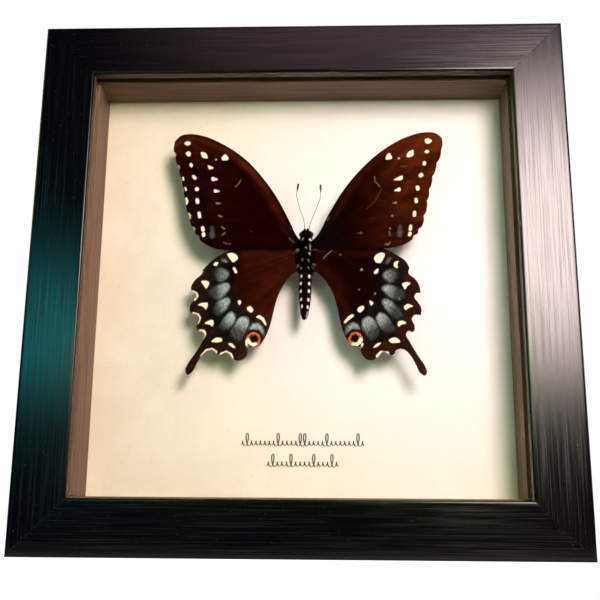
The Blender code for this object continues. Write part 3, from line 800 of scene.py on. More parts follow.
HIND_VEINS = [through(line, 5) for line in (
    [(1, -1.5), (14, -5), (21.5, -10), (24, -15), (20.5, -20), (12, -15), (1, -3)],
    [(1, -0.5), (10, 0.4), (20, -0.6), (26.5, -2.6)], [(18, -6.5), (28, -5.5), (34.6, -7.6)],
    [(22, -10.5), (31, -11.3), (38.2, -15)], [(24, -15), (32, -17.5), (38.2, -22.5)],
    [(23.8, -17.5), (30.5, -23), (35.8, -28.8)],
    [(22.5, -19.3), (29, -27.5), (33.5, -33.5), (38.8, -42.8)],
    [(20.5, -20), (24.5, -29), (28.2, -37)], [(16, -17.8), (19, -27), (22.3, -38.3)],
    [(3, -5), (13, -22), (18.5, -34)])]
print("veins:", len(FORE_VEINS), "and", len(HIND_VEINS))

# %% [markdown]
# ## Wings: marks
#
# The colours sit in rows between the veins: two rows of cream spots on the forewing, and on
# the hindwing cream hooks, blue-grey clouds and an eyespot. Each mark is a dot, a stroke or a
# filled patch of a few points, and a distance to it decides how much it covers each point of
# the sheet. That keeps edges crisp at any size, needs no picture and follows the real wing.

# %% Kinds of mark
def dot(x, z, radius, strength=1.0):
    """A round mark."""
    return (strength, radius, False, [(x, z)])

def stroke(radius, *points, strength=1.0):
    """A brush stroke along a line."""
    return (strength, radius, False, list(points))

def patch(radius, *points, strength=1.0):
    """A filled shape; its corners are rounded by the radius."""
    return (strength, radius, True, list(points))

def pieces_of(line, closed):
    """The starts and ends of a line's straight pieces."""
    line = np.asarray(line, float)
    return (line, np.roll(line, -1, 0)) if closed else (line[:-1], line[1:])

def distance_to(points, line, closed=False):
    """How far each point is from the nearest straight piece of a line."""
    best = np.full(len(points), np.inf)
    for start, end in zip(*pieces_of(line, closed)):
        way = end - start
        t = np.clip((points - start) @ way / max(way @ way, 1e-9), 0, 1)
        best = np.minimum(best, np.hypot(*(points - start - t[:, None] * way).T))
    return best

def inside_of(points, outline):
    """True where a ray to the right crosses the outline an odd number of times."""
    x, z = points.T
    odd = np.zeros(len(points), bool)
    for (xa, za), (xb, zb) in zip(*pieces_of(outline, True)):
        if za != zb:
            odd ^= ((za > z) != (zb > z)) & (x < (xb - xa) * (z - za) / (zb - za) + xa)
    return odd

def rise(value, low, high):
    """A smooth step from 0 at low to 1 at high."""
    t = np.clip((value - low) / (high - low), 0, 1)
    return t * t * (3 - 2 * t)

def corners_cut(shape, share=0.16, times=2):
    """A closed shape whose corners are cut off, `share` of the way along each side, `times` over."""
    line = np.array(shape, float)
    for _ in range(times):
        on = np.roll(line, -1, 0)
        line = np.stack([line + share * (on - line), on + share * (line - on)], 1).reshape(-1, 2)
    return line

def cover(points, marks, soft=0.13):
    """How much the marks cover each point: 1 inside, falling to 0 over `soft` each way."""
    total = np.zeros(len(points))
    for strength, radius, closed, shape in marks:
        if len(shape) == 1:
            far = np.hypot(*(points - np.array(shape[0])).T)
        else:
            line = corners_cut(shape) if closed else shape
            far = distance_to(points, line, closed)
            if closed:
                far = np.where(inside_of(points, line), -far, far)
        total = np.maximum(total, strength * rise(-(far - radius), -soft, soft))
    return total

print("mark helpers ready")

# %% Marks of the left forewing
LEFT_FORE_CREAM = [
    # outer row, from the tip down
    patch(0.1, (42.6, 37.7), (41.7, 38.4), (40.6, 38.1), (40.6, 37.3), (41.5, 36.9)),
    patch(0.1, (42.0, 34.0), (41.1, 34.7), (40.3, 34.1), (40.4, 33.1), (41.1, 32.9)),
    patch(0.1, (40.5, 29.6), (40.1, 30.4), (39.4, 29.6), (39.8, 28.8)),
    stroke(0.5, (39.0, 25.4), (38.4, 24.7)),
    dot(37.6, 20.7, 0.66),
    stroke(0.56, (37.4, 16.8), (37.2, 15.9)),
    stroke(0.5, (36.6, 12.0), (36.3, 10.7)),
    stroke(0.55, (35.2, 6.7), (35.0, 5.9)),
    stroke(0.55, (34.8, 4.5), (34.7, 4.0)),
    # inner row and the cell
    patch(0.05, (36.8, 34.4), (34.9, 34.0), (34.2, 32.0), (36.1, 32.4)),
    patch(0.05, (34.2, 29.6), (31.9, 28.4), (33.6, 27.9)),
    patch(0.05, (32.7, 25.2), (30.2, 24.2), (32.5, 23.6)),
    patch(0.05, (31.7, 20.7), (29.4, 19.8), (31.5, 19.3), strength=0.85),
    patch(0.15, (28.2, 33.5), (27.0, 31.8), (27.6, 31.3), (29.1, 31.3), (29.2, 32.2)),
    dot(31.3, 31.5, 0.3, 0.6),
    # slivers on the edge between the lobes
    stroke(0.22, (45.8, 34.0), (45.6, 33.2), strength=0.8),
    stroke(0.2, (44.3, 29.4), (44.0, 28.4), strength=0.8),
    stroke(0.25, (42.6, 25.0), (42.4, 24.1), strength=0.85),
    stroke(0.3, (41.7, 21.2), (41.4, 20.4), strength=0.85),
    stroke(0.4, (41.2, 17.2), (40.9, 16.3), (41.1, 15.4), strength=0.85),
    stroke(0.35, (40.1, 11.7), (39.6, 10.9), (39.7, 10.2), strength=0.85),
    stroke(0.35, (38.5, 6.7), (38.1, 6.2), (38.2, 5.5), strength=0.85),
    stroke(0.3, (37.3, 3.8), (36.8, 3.1), strength=0.85)]
LEFT_FORE_FAINT = [
    patch(0.05, (31.0, 15.9), (28.9, 15.5), (30.7, 15.1), strength=0.75),
    patch(0.05, (30.0, 11.4), (28.3, 10.7), (29.5, 10.5), strength=0.75),
    stroke(0.2, (28.6, 7.0), (27.7, 6.3), strength=0.7),
    stroke(0.2, (28.3, 4.1), (27.5, 4.8), strength=0.6),
    stroke(0.1, (27.8, 1.5), (26.7, 1.0), (25.4, 1.0), strength=0.6),
    stroke(0.14, (22.6, 23.8), (23.2, 22.6), (24.3, 21.5), strength=0.6),
    dot(18.5, 5.4, 0.3, 0.2), stroke(0.2, (5.6, 2.9), (4.0, 1.5), strength=0.3)]
print("left forewing marks:", len(LEFT_FORE_CREAM), "+", len(LEFT_FORE_FAINT))

# %% Marks of the right forewing
RIGHT_FORE_CREAM = [
    # outer row, from the tip down
    patch(0.1, (41.2, 38.5), (42.3, 38.8), (43.6, 37.8), (42.3, 36.8), (41.4, 37.1)),
    patch(0.1, (40.9, 33.9), (41.8, 34.5), (42.5, 33.9), (41.8, 33.2)),
    stroke(0.55, (40.8, 29.8), (40.7, 29.4)),
    patch(0.2, (38.8, 25.0), (39.6, 26.0), (40.2, 25.2), (39.4, 24.5)),
    stroke(0.6, (38.2, 20.8), (38.3, 20.2)),
    stroke(0.52, (37.6, 16.4), (37.7, 15.6)),
    stroke(0.52, (37.0, 11.7), (36.9, 10.7)),
    stroke(0.5, (35.6, 6.8), (35.4, 5.7)),
    stroke(0.5, (35.3, 4.3), (35.1, 3.7)),
    # inner row
    patch(0.1, (37.1, 34.5), (36.9, 32.4), (35.2, 31.9), (34.7, 32.5), (35.6, 33.9)),
    patch(0.05, (29.8, 23.5), (33.1, 25.2), (33.2, 23.9), (32.5, 23.5)),
    patch(0.05, (29.9, 19.5), (32.2, 20.9), (32.4, 19.4)),
    patch(0.1, (28.8, 33.6), (29.7, 31.5), (28.8, 31.2), (27.5, 31.1), (27.9, 32.7)),
    dot(32.0, 31.5, 0.32, 0.8)]
RIGHT_FORE_FAINT = [
    patch(0.05, (29.4, 15.2), (31.1, 15.7), (31.0, 14.9), strength=0.75), dot(29.4, 10.6, 0.35, 0.75),
    dot(28.6, 6.1, 0.3, 0.7), stroke(0.15, (28.3, 5.0), (28.5, 3.5), strength=0.6),
    stroke(0.15, (26.9, 0.6), (27.6, 0.3), (28.5, 1.1), strength=0.75),
    stroke(0.15, (32.7, 28.5), (34.5, 28.5), strength=0.3),
    stroke(0.12, (23.6, 24.8), (23.7, 23.3), (25.3, 21.1), strength=0.6),
    stroke(0.12, (25.8, 20.2), (23.7, 16.0), (20.7, 13.1), strength=0.15),
    dot(18.7, 4.6, 0.4, 0.35), dot(17.7, 4.5, 0.3, 0.2),
    stroke(0.3, (7.4, 9.4), (7.9, 10.3), strength=0.2)]
print("right forewing marks:", len(RIGHT_FORE_CREAM), "+", len(RIGHT_FORE_FAINT))

# %% Marks of the left hindwing
LEFT_HIND_CREAM = [
    patch(0.1, (26.7, -2.3), (25.0, -2.1), (23.4, -2.8), (23.0, -4.0), (24.5, -5.3),
          (25.4, -4.2)),
    patch(0.1, (31.1, -6.2), (30.6, -5.3), (29.6, -5.4), (30.1, -6.5)),
    stroke(0.4, (24.2, -7.4), (23.5, -8.7), strength=0.9),
    patch(0.1, (35.2, -11.8), (32.9, -11.9), (32.5, -12.8), (33.4, -14.4), (34.0, -13.4)),
    patch(0.1, (36.0, -20.1), (34.6, -19.5), (32.9, -19.4), (32.8, -20.1), (33.2, -21.6),
          (33.8, -20.9), (34.6, -20.3)),
    patch(0.1, (33.6, -26.4), (31.5, -25.3), (30.8, -25.4), (30.6, -26.3), (30.9, -27.4),
          (31.8, -26.6)),
    patch(0.1, (31.2, -32.5), (29.3, -31.2), (27.7, -31.5), (27.6, -32.4), (29.1, -32.7)),
    patch(0.05, (25.6, -33.2), (24.2, -33.2), (23.0, -34.7), (24.2, -34.3)),
    patch(0.1, (22.6, -18.8), (21.9, -18.5), (21.5, -19.2), (22.1, -20.1), strength=0.85),
    patch(0.1, (19.5, -21.1), (18.4, -20.5), (17.4, -21.8), (18.0, -22.7), (19.0, -22.0)),
    patch(0.05, (16.4, -24.2), (15.5, -23.5), (13.9, -24.5), (13.0, -26.6), (13.2, -27.0),
          (14.6, -25.1)),
    # white slivers in the bites of the edge
    stroke(0.6, (37.9, -15.7), (36.8, -16.3), (36.5, -17.0), (37.2, -18.0)),
    stroke(0.6, (37.4, -23.2), (36.0, -23.6), (35.4, -24.6), (35.9, -26.0)),
    stroke(0.55, (35.0, -29.1), (33.8, -29.2), (33.4, -30.0), (34.0, -31.3)),
    stroke(0.5, (34.0, -37.3), (32.5, -35.6), (30.8, -35.2), (29.5, -36.1)),
    stroke(0.55, (27.7, -36.9), (26.1, -36.2), (24.7, -36.9), (24.2, -38.0)),
    stroke(0.18, (35.2, -9.2), (34.8, -8.5)),
    stroke(0.3, (19.4, -32.2), (19.4, -33.6), (18.8, -34.5))]
LEFT_HIND_BLUE = [
    patch(0.4, (29.8, -8.6), (28.2, -7.6), (26.4, -8.8), (26.2, -9.5), (27.2, -10.9),
          (28.6, -11.8), strength=0.4),
    patch(0.4, (30.6, -15.0), (28.8, -13.5), (26.4, -12.9), (25.9, -13.9), (26.8, -15.9),
          (28.6, -17.9), strength=0.85),
    patch(0.4, (29.2, -20.4), (28.2, -18.7), (26.3, -18.0), (25.6, -18.8), (26.6, -21.3),
          (28.0, -22.8)),
    patch(0.4, (27.4, -26.3), (26.1, -24.2), (24.9, -22.9), (23.8, -23.8), (23.9, -25.5),
          (25.3, -27.3)),
    patch(0.4, (23.9, -28.1), (22.9, -26.2), (21.4, -24.6), (19.5, -24.7), (19.1, -26.3),
          (20.2, -29.6), (21.4, -30.2)),
    patch(0.1, (18.6, -27.9), (17.3, -26.5), (15.8, -26.4), (14.1, -27.7), (13.6, -29.3),
          (14.0, -29.8), (15.2, -28.1), (17.0, -27.7)),
    stroke(0.3, (27.7, -4.7), (27.0, -5.0), strength=0.5)]
LEFT_EYE = (17.1, -31.7)
print("left hindwing marks:", len(LEFT_HIND_CREAM), "+", len(LEFT_HIND_BLUE))

# %% Marks of the right hindwing
RIGHT_HIND_CREAM = [
    patch(0.1, (23.0, -4.0), (23.9, -2.8), (25.6, -2.2), (26.6, -2.9), (25.1, -5.8),
          (23.5, -5.5)),
    patch(0.08, (29.5, -6.9), (29.7, -5.6), (31.1, -5.2), (30.5, -6.3), (30.8, -7.7)),
    patch(0.08, (22.8, -9.0), (24.3, -7.6), (24.1, -9.1), (23.3, -9.6)),
    patch(0.1, (32.1, -13.0), (33.6, -12.6), (34.9, -12.9), (33.5, -14.0), (33.1, -15.0)),
    patch(0.1, (32.6, -20.8), (33.9, -20.0), (35.6, -20.8), (34.2, -21.1), (33.1, -22.0)),
    patch(0.1, (30.5, -27.1), (30.7, -25.9), (32.1, -25.7), (33.2, -26.5), (31.5, -26.8),
          (30.8, -27.5)),
    patch(0.1, (27.4, -32.1), (29.0, -31.3), (30.2, -31.6), (31.2, -32.8), (28.3, -33.0)),
    patch(0.05, (22.2, -34.7), (23.5, -33.3), (24.9, -33.0), (23.8, -34.1)),
    patch(0.05, (21.2, -18.6), (22.6, -19.6), (21.7, -20.5), strength=0.9),
    patch(0.1, (17.2, -22.1), (17.6, -21.2), (19.0, -20.5), (19.5, -21.3), (18.1, -22.8)),
    patch(0.05, (12.7, -25.9), (14.1, -24.2), (15.7, -23.3), (16.1, -23.9), (14.4, -25.2),
          (13.1, -26.3)),
    stroke(0.55, (23.7, -37.5), (24.9, -36.3), (26.9, -36.5)),
    stroke(0.3, (18.8, -33.4), (18.3, -34.5)), stroke(0.12, (36.9, -16.4), (36.2, -17.4)),
    stroke(0.12, (35.9, -23.9), (35.2, -25.0)), dot(18.7, -8.1, 0.45, 0.3),
    dot(17.8, -14.9, 0.25, 0.2), dot(23.1, -16.4, 0.3, 0.25), dot(11.6, -2.8, 0.3, 0.15),
    stroke(0.08, (6.0, -3.9), (8.8, -1.2), strength=0.3),
    stroke(0.1, (30.9, -17.8), (31.3, -18.6), strength=0.35)]
RIGHT_HIND_BLUE = [
    patch(0.4, (26.0, -10.2), (26.8, -9.0), (28.1, -8.4), (29.5, -9.0), (29.2, -10.9),
          (28.0, -12.4), strength=0.45),
    patch(0.4, (25.8, -14.6), (27.0, -13.7), (28.9, -14.1), (31.0, -15.6), (30.8, -16.7),
          (29.4, -18.1), (27.6, -17.1), strength=0.85),
    patch(0.4, (25.8, -19.3), (26.4, -18.6), (28.1, -19.3), (29.8, -21.6), (30.1, -22.8),
          (28.5, -23.8), (27.0, -22.0), strength=0.9),
    patch(0.4, (23.8, -24.7), (24.7, -23.3), (26.1, -23.8), (27.4, -25.7), (28.0, -27.3),
          (25.4, -28.0), (24.3, -26.7), strength=0.9),
    patch(0.4, (18.9, -26.9), (19.6, -25.1), (20.9, -24.6), (22.3, -25.3), (23.5, -28.1),
          (21.1, -30.2), (19.7, -29.1), strength=0.85),
    patch(0.1, (13.1, -28.7), (13.9, -27.3), (15.7, -26.3), (17.1, -26.7), (18.0, -28.1),
          (16.6, -27.9), (14.7, -28.1), (13.4, -29.3), strength=0.9),
    stroke(0.3, (27.8, -4.5), (27.2, -5.7), strength=0.4)]
RIGHT_EYE = (16.5, -31.6)
print("right hindwing marks:", len(RIGHT_HIND_CREAM), "+", len(RIGHT_HIND_BLUE))

# %% [markdown]
# ## Wings: the sheet
#
# Each wing starts as a flat grid of small squares. Squares outside the outline are dropped and
# the points just outside it are moved onto it, so the edge is exact. The sheet then gets its
# relief: ridges along the veins, a shallow sag between them, and a slow bend. A front and a
# back layer share their border points, so the wing is a closed solid that thins to its edge.

# %% Clipping a grid to an outline
SHEET_STEP = 0.17
SHEET_HALF = 0.11
EDGE_ROUND = 0.35
OUTLINE_STEP = 0.35
VEIN_HEIGHT = 0.11
VEIN_WIDTH = 0.24
SAG, SAG_WIDTH = 0.20, 1.7

def clipped_grid(outline, step):
    """Points of a square grid inside an outline, its kept cells, and which points are border.

    A cell is kept when one of its corners is inside; its outside corners move to the nearest
    point of the outline."""
    low, high = outline.min(0) - step, outline.max(0) + 2 * step
    x, z = np.arange(low[0], high[0], step), np.arange(low[1], high[1], step)
    points = np.stack(np.meshgrid(x, z), -1).reshape(-1, 2)
    inside = inside_of(points, outline)
    cells = grid_faces(len(z), len(x))
    cells = cells[inside[cells].any(1)]
    used = np.unique(cells)
    number = np.full(len(points), -1)
    number[used] = np.arange(len(used))
    points, border = points[used], ~inside[used]
    rim = evenly(np.vstack([outline, outline[:1]]), step / 4)
    near = np.linalg.norm(points[border][:, None] - rim[None], axis=2).argmin(1)
    points[border] = rim[near]
    return points, number[cells], border

test_points, _, test_border = clipped_grid(left_fore[::3], 0.8)
print("a coarse forewing:", len(test_points), "points,", test_border.sum(), "on its border")

# %% Wing sheet
def wing(name, node, side, outline, veins, depth, bend, tones, finish, spread=1.0):
    """A thin closed sheet from an outline, its veins and a bend(x, z) towards the viewer.

    Height towards the viewer = bend + ridge over each vein - sag between veins, where the
    ridge is a bell of the distance to the nearest vein. Half thickness = a quarter-circle
    rise from the border. `tones` gives the named shares of colour at each point, and spread
    scales the finished sheet about its root."""
    flat, cells, border = clipped_grid(outline, SHEET_STEP)
    coarse = evenly(np.vstack([outline, outline[:1]]), OUTLINE_STEP)
    edge = np.where(border, 0.0, distance_to(flat, coarse))
    vein = np.min([distance_to(flat, line) for line in veins], axis=0)
    ridge = np.exp(-(vein / VEIN_WIDTH)**2) * rise(edge, 0.0, 1.2)
    sag = SAG * (1 - np.exp(-(vein / SAG_WIDTH)**2)) * rise(edge, 0.0, 2.5)
    quiver = 0.02 * ripple(flat, 1.6, 7) + 0.05 * ripple(flat, 9.0, 8)
    height = bend(flat[:, 0], flat[:, 1]) + quiver * rise(edge, 0, 1.0) - sag
    half = SHEET_HALF * np.sqrt(1 - (1 - np.clip(edge / EDGE_ROUND, 0, 1))**2)
    count = len(flat)
    back = np.where(border, np.arange(count), count + np.cumsum(~border) - 1)
    front_y = depth - height - half - VEIN_HEIGHT * ridge
    back_y = (depth - height + half)[~border]
    sheet_x, sheet_z = THORAX[0] + side * spread * flat[:, 0], THORAX[2] + spread * flat[:, 1]
    points = np.vstack([np.stack([sheet_x, front_y, sheet_z], 1),
                        np.stack([sheet_x[~border], back_y, sheet_z[~border]], 1)])
    marks = {**tones(flat, edge), "vein": ridge}
    marks = {key: np.concatenate([value, value[~border]]) for key, value in marks.items()}
    piece = put_piece(name, finish, points, [cells, back[cells][:, ::-1]],
                      marks=marks)
    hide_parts(node)
    print(name, triangles(piece), "triangles")

def fan(points, root, size, seed):
    """Streaks that radiate from a root: a random field of the direction and, slowly, of reach."""
    away = points - np.array(root)
    angle, reach = np.arctan2(away[:, 1], away[:, 0]), np.hypot(*away.T)
    return np.clip(0.5 + 0.35 * ripple(np.stack([angle * 25, reach * 0.12], 1), size, seed), 0, 1)

print("wing sheet ready")

# %% [markdown]
# ## Wings: scales
#
# Colour comes from dust-like scales in rows. The shares stored on the sheet say where each
# kind of scale lies, and the material mixes them, breaks the edges up with a fine noise and
# adds rows of tiny overlapping scales as relief.

# %% Scale rows
def scale_rows_group():
    """Rows of tiny rounded scales: cells about 0.26 mm across and 0.14 mm from row to row."""
    group, given, out = effect("scale_rows", {"Place": "vector", "Fineness": 7000.0},
                               {"Height": "Float", "Shade": "Float", "Dust": "Float"})
    lean = add(group, "ShaderNodeMapping", {"Vector": given["Place"],
                                            "Scale": (0.55, 0.3, 1.0)}).outputs[0]
    cells = add(group, "ShaderNodeTexVoronoi", {"Vector": lean, "Scale": given["Fineness"]})
    group.links.new(step_up(group, cells.outputs["Distance"], 0.1, 0.7, 1.0, 0.0),
                    out["Height"])
    tone = add(group, "ShaderNodeSeparateColor", {0: cells.outputs["Color"]}).outputs[0]
    group.links.new(tone, out["Shade"])
    fine = maths(group, "MULTIPLY", given["Fineness"], 0.45)
    group.links.new(noise(group, given["Place"], fine, 3.0, 0.7), out["Dust"])
    return group

scale_rows = scale_rows_group()
print("group", scale_rows.name)

# %% Wing material
MAROON = (0.0045, 0.0001, 0.0001)
BROWN = (0.076, 0.0125, 0.002)
SOOT = (0.0018, 0.0009, 0.0009)
CREAM = (0.86, 0.75, 0.56)
BLUE_GREY = (0.32, 0.41, 0.40)
ORANGE = (0.60, 0.13, 0.04)

def scales_of(name, brown=BROWN, blue=BLUE_GREY):
    """Wing scales: maroon and brown ground, sooty shades, then blue, cream and orange marks."""
    made, tree, shader = material(name, specular_ior_level=0.004)
    rows = use(tree, scale_rows, {"Place": places(tree)})
    rough_edge = maths(tree, "MULTIPLY_ADD", rows["Dust"], 0.7, -0.35)
    def share(key, softness=1.0):
        value = attribute(tree, key)
        wild = maths(tree, "MULTIPLY", rough_edge, softness)
        wild = maths(tree, "MULTIPLY", wild, step_up(tree, value, 0.0, 0.25))
        return add(tree, "ShaderNodeClamp", {0: maths(tree, "ADD", value, wild)}).outputs[0]
    streak = attribute(tree, "streak")
    ground = maths(tree, "MULTIPLY", share("tan", 0.2),
                   maths(tree, "MULTIPLY_ADD", streak, 0.9, 0.55))
    colour = mix(tree, ground, MAROON, brown)
    colour = mix(tree, maths(tree, "MULTIPLY", attribute(tree, "vein"), 0.06), colour, brown)
    colour = mix(tree, share("dark", 0.3), colour, SOOT)
    colour = mix(tree, share("blue", 0.3), colour, blue)
    colour = mix(tree, share("faint", 0.6), colour, (0.30, 0.19, 0.15))
    colour = mix(tree, share("cream", 0.35), colour, CREAM)
    colour = mix(tree, share("rust", 0.3), colour, ORANGE)
    shade = maths(tree, "MULTIPLY_ADD", rows["Shade"], 0.34, 0.83)
    colour = add(tree, "ShaderNodeVectorMath", {0: colour, "Scale": shade},
                 operation="SCALE").outputs[0]
    dull = maths(tree, "MULTIPLY_ADD", rows["Shade"], 0.15, 0.6)
    finish_with(tree, shader, colour=colour, roughness=dull,
                normal=bump(tree, rows["Height"], 0.00001, 0.6))
    return made

left_scales = scales_of("wing_scales_left")
right_scales = scales_of("wing_scales_right", blue=(0.30, 0.34, 0.345))
print("scales ready")

# %% Forewings
def fore_tones(cream, faint, costa, tan_tip, tan_edge, tan_front, root_dark=0.0):
    """Shares of colour on a forewing: brown at the tip, the outer edge and the front edge."""
    def tones(flat, edge):
        x, z = flat.T
        front = distance_to(flat, costa)
        tan = tan_tip * rise(z, 26, 40) + tan_edge * rise(x, 14, 44)
        tan = np.maximum(tan, tan_front * np.exp(-((front - 1.8) / 1.4)**2) * rise(x, 3, 14))
        streak = fan(flat, (-3.0, -2.0), 3.0, 31)
        dark = 0.75 * rise(-front, -0.55, -0.1) + 0.5 * rise(-edge, -0.8, -0.15)
        dark += 0.6 * np.exp(-((x - 31.5) / 3.0)**2 - ((z - 5.5) / 2.2)**2)
        dark += root_dark * (1 - rise(x, 5, 20))
        dusk = [stroke(0.5, (32.0, 6.7), (31.8, 5.8), strength=0.35),
                stroke(0.7, (31.9, 4.8), (31.8, 3.8), strength=0.45)]
        return {"cream": cover(flat, cream), "faint": cover(flat, faint, 0.22),
                "blue": 0.35 * cover(flat, dusk, 0.7), "rust": np.zeros(len(flat)),
                "tan": tan * (1 + 0.25 * ripple(flat, 6.0, 12)), "dark": np.clip(dark, 0, 1),
                "streak": streak}
    return tones

def lift(degrees):
    """A wing that rises evenly towards the viewer, with a slight camber along its length."""
    slope = math.tan(math.radians(degrees))
    return lambda x, z: slope * x + 0.35 * np.sin(np.clip(x, 0, 46) / 46 * math.pi)

BEHIND_FACE = 0.2  # the sheet lies this far behind the front of its packed plate
wing(
    "forewing_scaled_left", "forewing_left", -1, left_fore, FORE_VEINS, WINGS + BEHIND_FACE,
    lift(0.2), fore_tones(LEFT_FORE_CREAM, LEFT_FORE_FAINT, left_fore[:60], 0.24, 0.06, 0.45),
    left_scales)
wing(
    "forewing_scaled_right", "forewing_right", 1, right_fore, FORE_VEINS, WINGS + BEHIND_FACE,
    lift(1.6), fore_tones(RIGHT_FORE_CREAM, RIGHT_FORE_FAINT, right_fore[:60], 0.42, 0.48, 0.30,
                          0.95),
    right_scales, spread=0.993)

# %% Hindwings
EYE_OUTER, EYE_INNER = 2.4, 1.3
CLOUD_CENTRE = np.array([14.0, -12.0])

def clouds(flat, shapes):
    """Blue clouds: dense on the side of the cell, thinning outwards, combed into fine rays.

    Along the ray from the cell through a cloud, density falls smoothly from 1 to a tenth.
    The cloud is drawn out along the same ray, and a random field makes it blotchy."""
    total = np.zeros(len(flat))
    for mark in shapes:
        corners = np.array(mark[3])
        way = corners.mean(0) - CLOUD_CENTRE
        way = way / np.linalg.norm(way)
        past = np.clip(flat @ way - (corners @ way).min(), 0, None)
        drawn = flat - 0.25 * past[:, None] * way
        total = np.maximum(total, cover(drawn, [mark], 0.55) * (1 - 0.9 * rise(past, 0.6, 5.2)))
    rays = fan(flat, CLOUD_CENTRE, 0.9, 33)
    return total * (0.62 + 0.5 * rays) * (1 + 0.3 * ripple(flat, 1.1, 35))

def hind_tones(cream, blue, eye, tan_root, tan_edge, tan_tail):
    """Shares of colour on a hindwing: blue clouds, cream marks and the ringed eyespot.

    The ring lies between two radii round the eye and turns from orange to cream on the side
    that faces outwards and down. Away from the cell a thin blue dusting greys the brown."""
    def tones(flat, edge):
        x, z = flat.T
        away = flat - np.array(eye)
        reach = np.hypot(*away.T) + 0.12 * ripple(flat, 1.4, 5)
        ring = rise(reach, EYE_INNER - 0.25, EYE_INNER + 0.15)
        ring = ring * rise(-reach, -EYE_OUTER - 0.15, -EYE_OUTER + 0.2)
        down = (0.5 * away[:, 0] - 0.85 * away[:, 1]) / np.maximum(reach, 0.1)
        pale = ring * rise(down, 0.05, 0.65)
        belt = [stroke(1.5, (29.5, -5.5), (31.5, -9.5), (31.8, -16.0), (30.8, -22.5),
                       (27.5, -29.5), (21.5, -32.0), strength=0.9),
                stroke(1.0, (25.0, -7.0), (25.2, -12.0), (25.0, -17.0), (23.0, -22.5),
                       (18.0, -24.5), (14.0, -28.5), strength=0.85),
                stroke(0.9, (eye[0] + 2.2, eye[1] + 3.6), (eye[0] - 0.4, eye[1] + 3.0),
                       (eye[0] - 3.0, eye[1] + 1.0), strength=0.95)]
        dark = cover(flat, belt, 1.1)
        dark = np.maximum(dark, rise(-reach, -EYE_INNER - 0.1, -EYE_INNER + 0.3))
        tan = tan_root * (1 - rise(x, 12, 30)) + tan_edge * rise(-edge, -5.5, -1.5)
        tan = np.where(z < -34, np.maximum(tan, tan_tail), tan)
        dusted = np.clip(clouds(flat, blue) * rise(reach, 3.0, 3.5), 0, 1)
        dusted += 0.008 * rise(np.hypot(x - 10, z + 8), 13, 19)
        return {"cream": np.maximum(cover(flat, cream), pale * 0.95),
                "faint": np.zeros(len(flat)), "blue": np.clip(dusted, 0, 1),
                "rust": ring * (1 - pale) * (0.12 + 0.88 * np.exp(-((reach - 1.95) / 0.28)**2)),
                "dark": np.maximum(dark, ring),
                "tan": tan * (1 + 0.2 * ripple(flat, 5.0, 13)),
                "streak": fan(flat, (-2.0, 0.0), 3.0, 32)}
    return tones

def curled(degrees):
    """A hindwing lies evenly, and its inner edge curls back by a millimetre."""
    slope = math.tan(math.radians(degrees))
    inner = np.array([(3.0, -7.0), (8.0, -12.5), (10.5, -20.0), (12.0, -28.0), (15.0, -34.0)])
    def bend(x, z):
        limit = np.interp(-z, -inner[:, 1], inner[:, 0])
        return slope * x - 0.9 * (1 - rise(x - limit, 0.0, 3.0)) * rise(-z, 8.0, 16.0)
    return bend

wing(
    "hindwing_scaled_left", "hindwing_left", -1, left_hind, HIND_VEINS, HINDWINGS + BEHIND_FACE,
    curled(0.2), hind_tones(LEFT_HIND_CREAM, LEFT_HIND_BLUE, LEFT_EYE, 0.24, 0.08, 0.07),
    left_scales)
wing(
    "hindwing_scaled_right", "hindwing_right", 1, right_hind, HIND_VEINS, HINDWINGS + BEHIND_FACE,
    curled(1.6), hind_tones(RIGHT_HIND_CREAM, RIGHT_HIND_BLUE, RIGHT_EYE, 0.0, 0.16, 0.10),
    right_scales)

# %% [markdown]
# ## Body
#
# The body is a row of turned shapes on one axis: head, furry thorax, and an abdomen whose
# rings overlap like a telescope. One profile carried round the axis gives all three, and
# creases go in where two rings meet. White dots sit in rows along the sides. Eyes are separate
# glossy beads, and the fur is thousands of thin tapered blades, joined into a few pieces.

# %% Body profile and marks
BODY_PROFILE = through([(6.3, 0.0), (6.0, 1.0), (5.2, 1.8), (4.3, 2.0), (3.3, 1.75), (2.0, 2.1),
                        (-0.8, 2.55), (-4.4, 2.45), (-7.6, 2.1), (-9.6, 2.1), (-13.6, 2.2),
                        (-17.6, 2.0), (-21.4, 1.5), (-24.0, 0.9), (-25.2, 0.0)], 14)
RING_PITCH = 2.5
DEEPER = 1.15
LEAN = 0.014

BODY_DOTS = [
    dot(1.5, 2.5, 0.45), dot(-0.95, 2.7, 0.3, 0.5), dot(0.1, -0.7, 0.3, 0.35),
    stroke(0.12, (1.4, 0.7), (1.5, -1.4), strength=0.6), dot(1.25, -2.7, 0.3, 0.8),
    dot(-2.6, -1.2, 0.5, 0.8), dot(2.6, -1.0, 0.35, 0.5), dot(-1.1, -4.7, 0.22, 0.5),
    dot(0.9, -4.9, 0.2, 0.5), stroke(0.22, (-2.7, -6.0), (-2.2, -6.8), strength=0.4),
    dot(2.3, -6.3, 0.28, 0.5), dot(2.1, -7.5, 0.22, 0.45), dot(-1.4, -7.6, 0.24, 0.55),
    dot(0.9, -7.6, 0.24, 0.55)]
BODY_DOTS += [stroke(0.32, (x, z + 0.2), (x, z - 0.2)) for x, z in
              ((1.25, -10.5), (1.25, -13.0), (1.15, -15.6), (0.95, -18.5), (0.75, -21.0))]
BODY_DOTS += [stroke(0.3, (x, z + 0.2), (x, z - 0.2)) for x, z in
              ((-1.4, -10.5), (-1.6, -13.0), (-1.6, -15.6), (-1.45, -18.4), (-1.2, -20.7))]
BODY_DOTS += [stroke(0.3, (0.7, -22.6), (0.4, -24.2), strength=0.4)]
print("body dots:", len(BODY_DOTS))

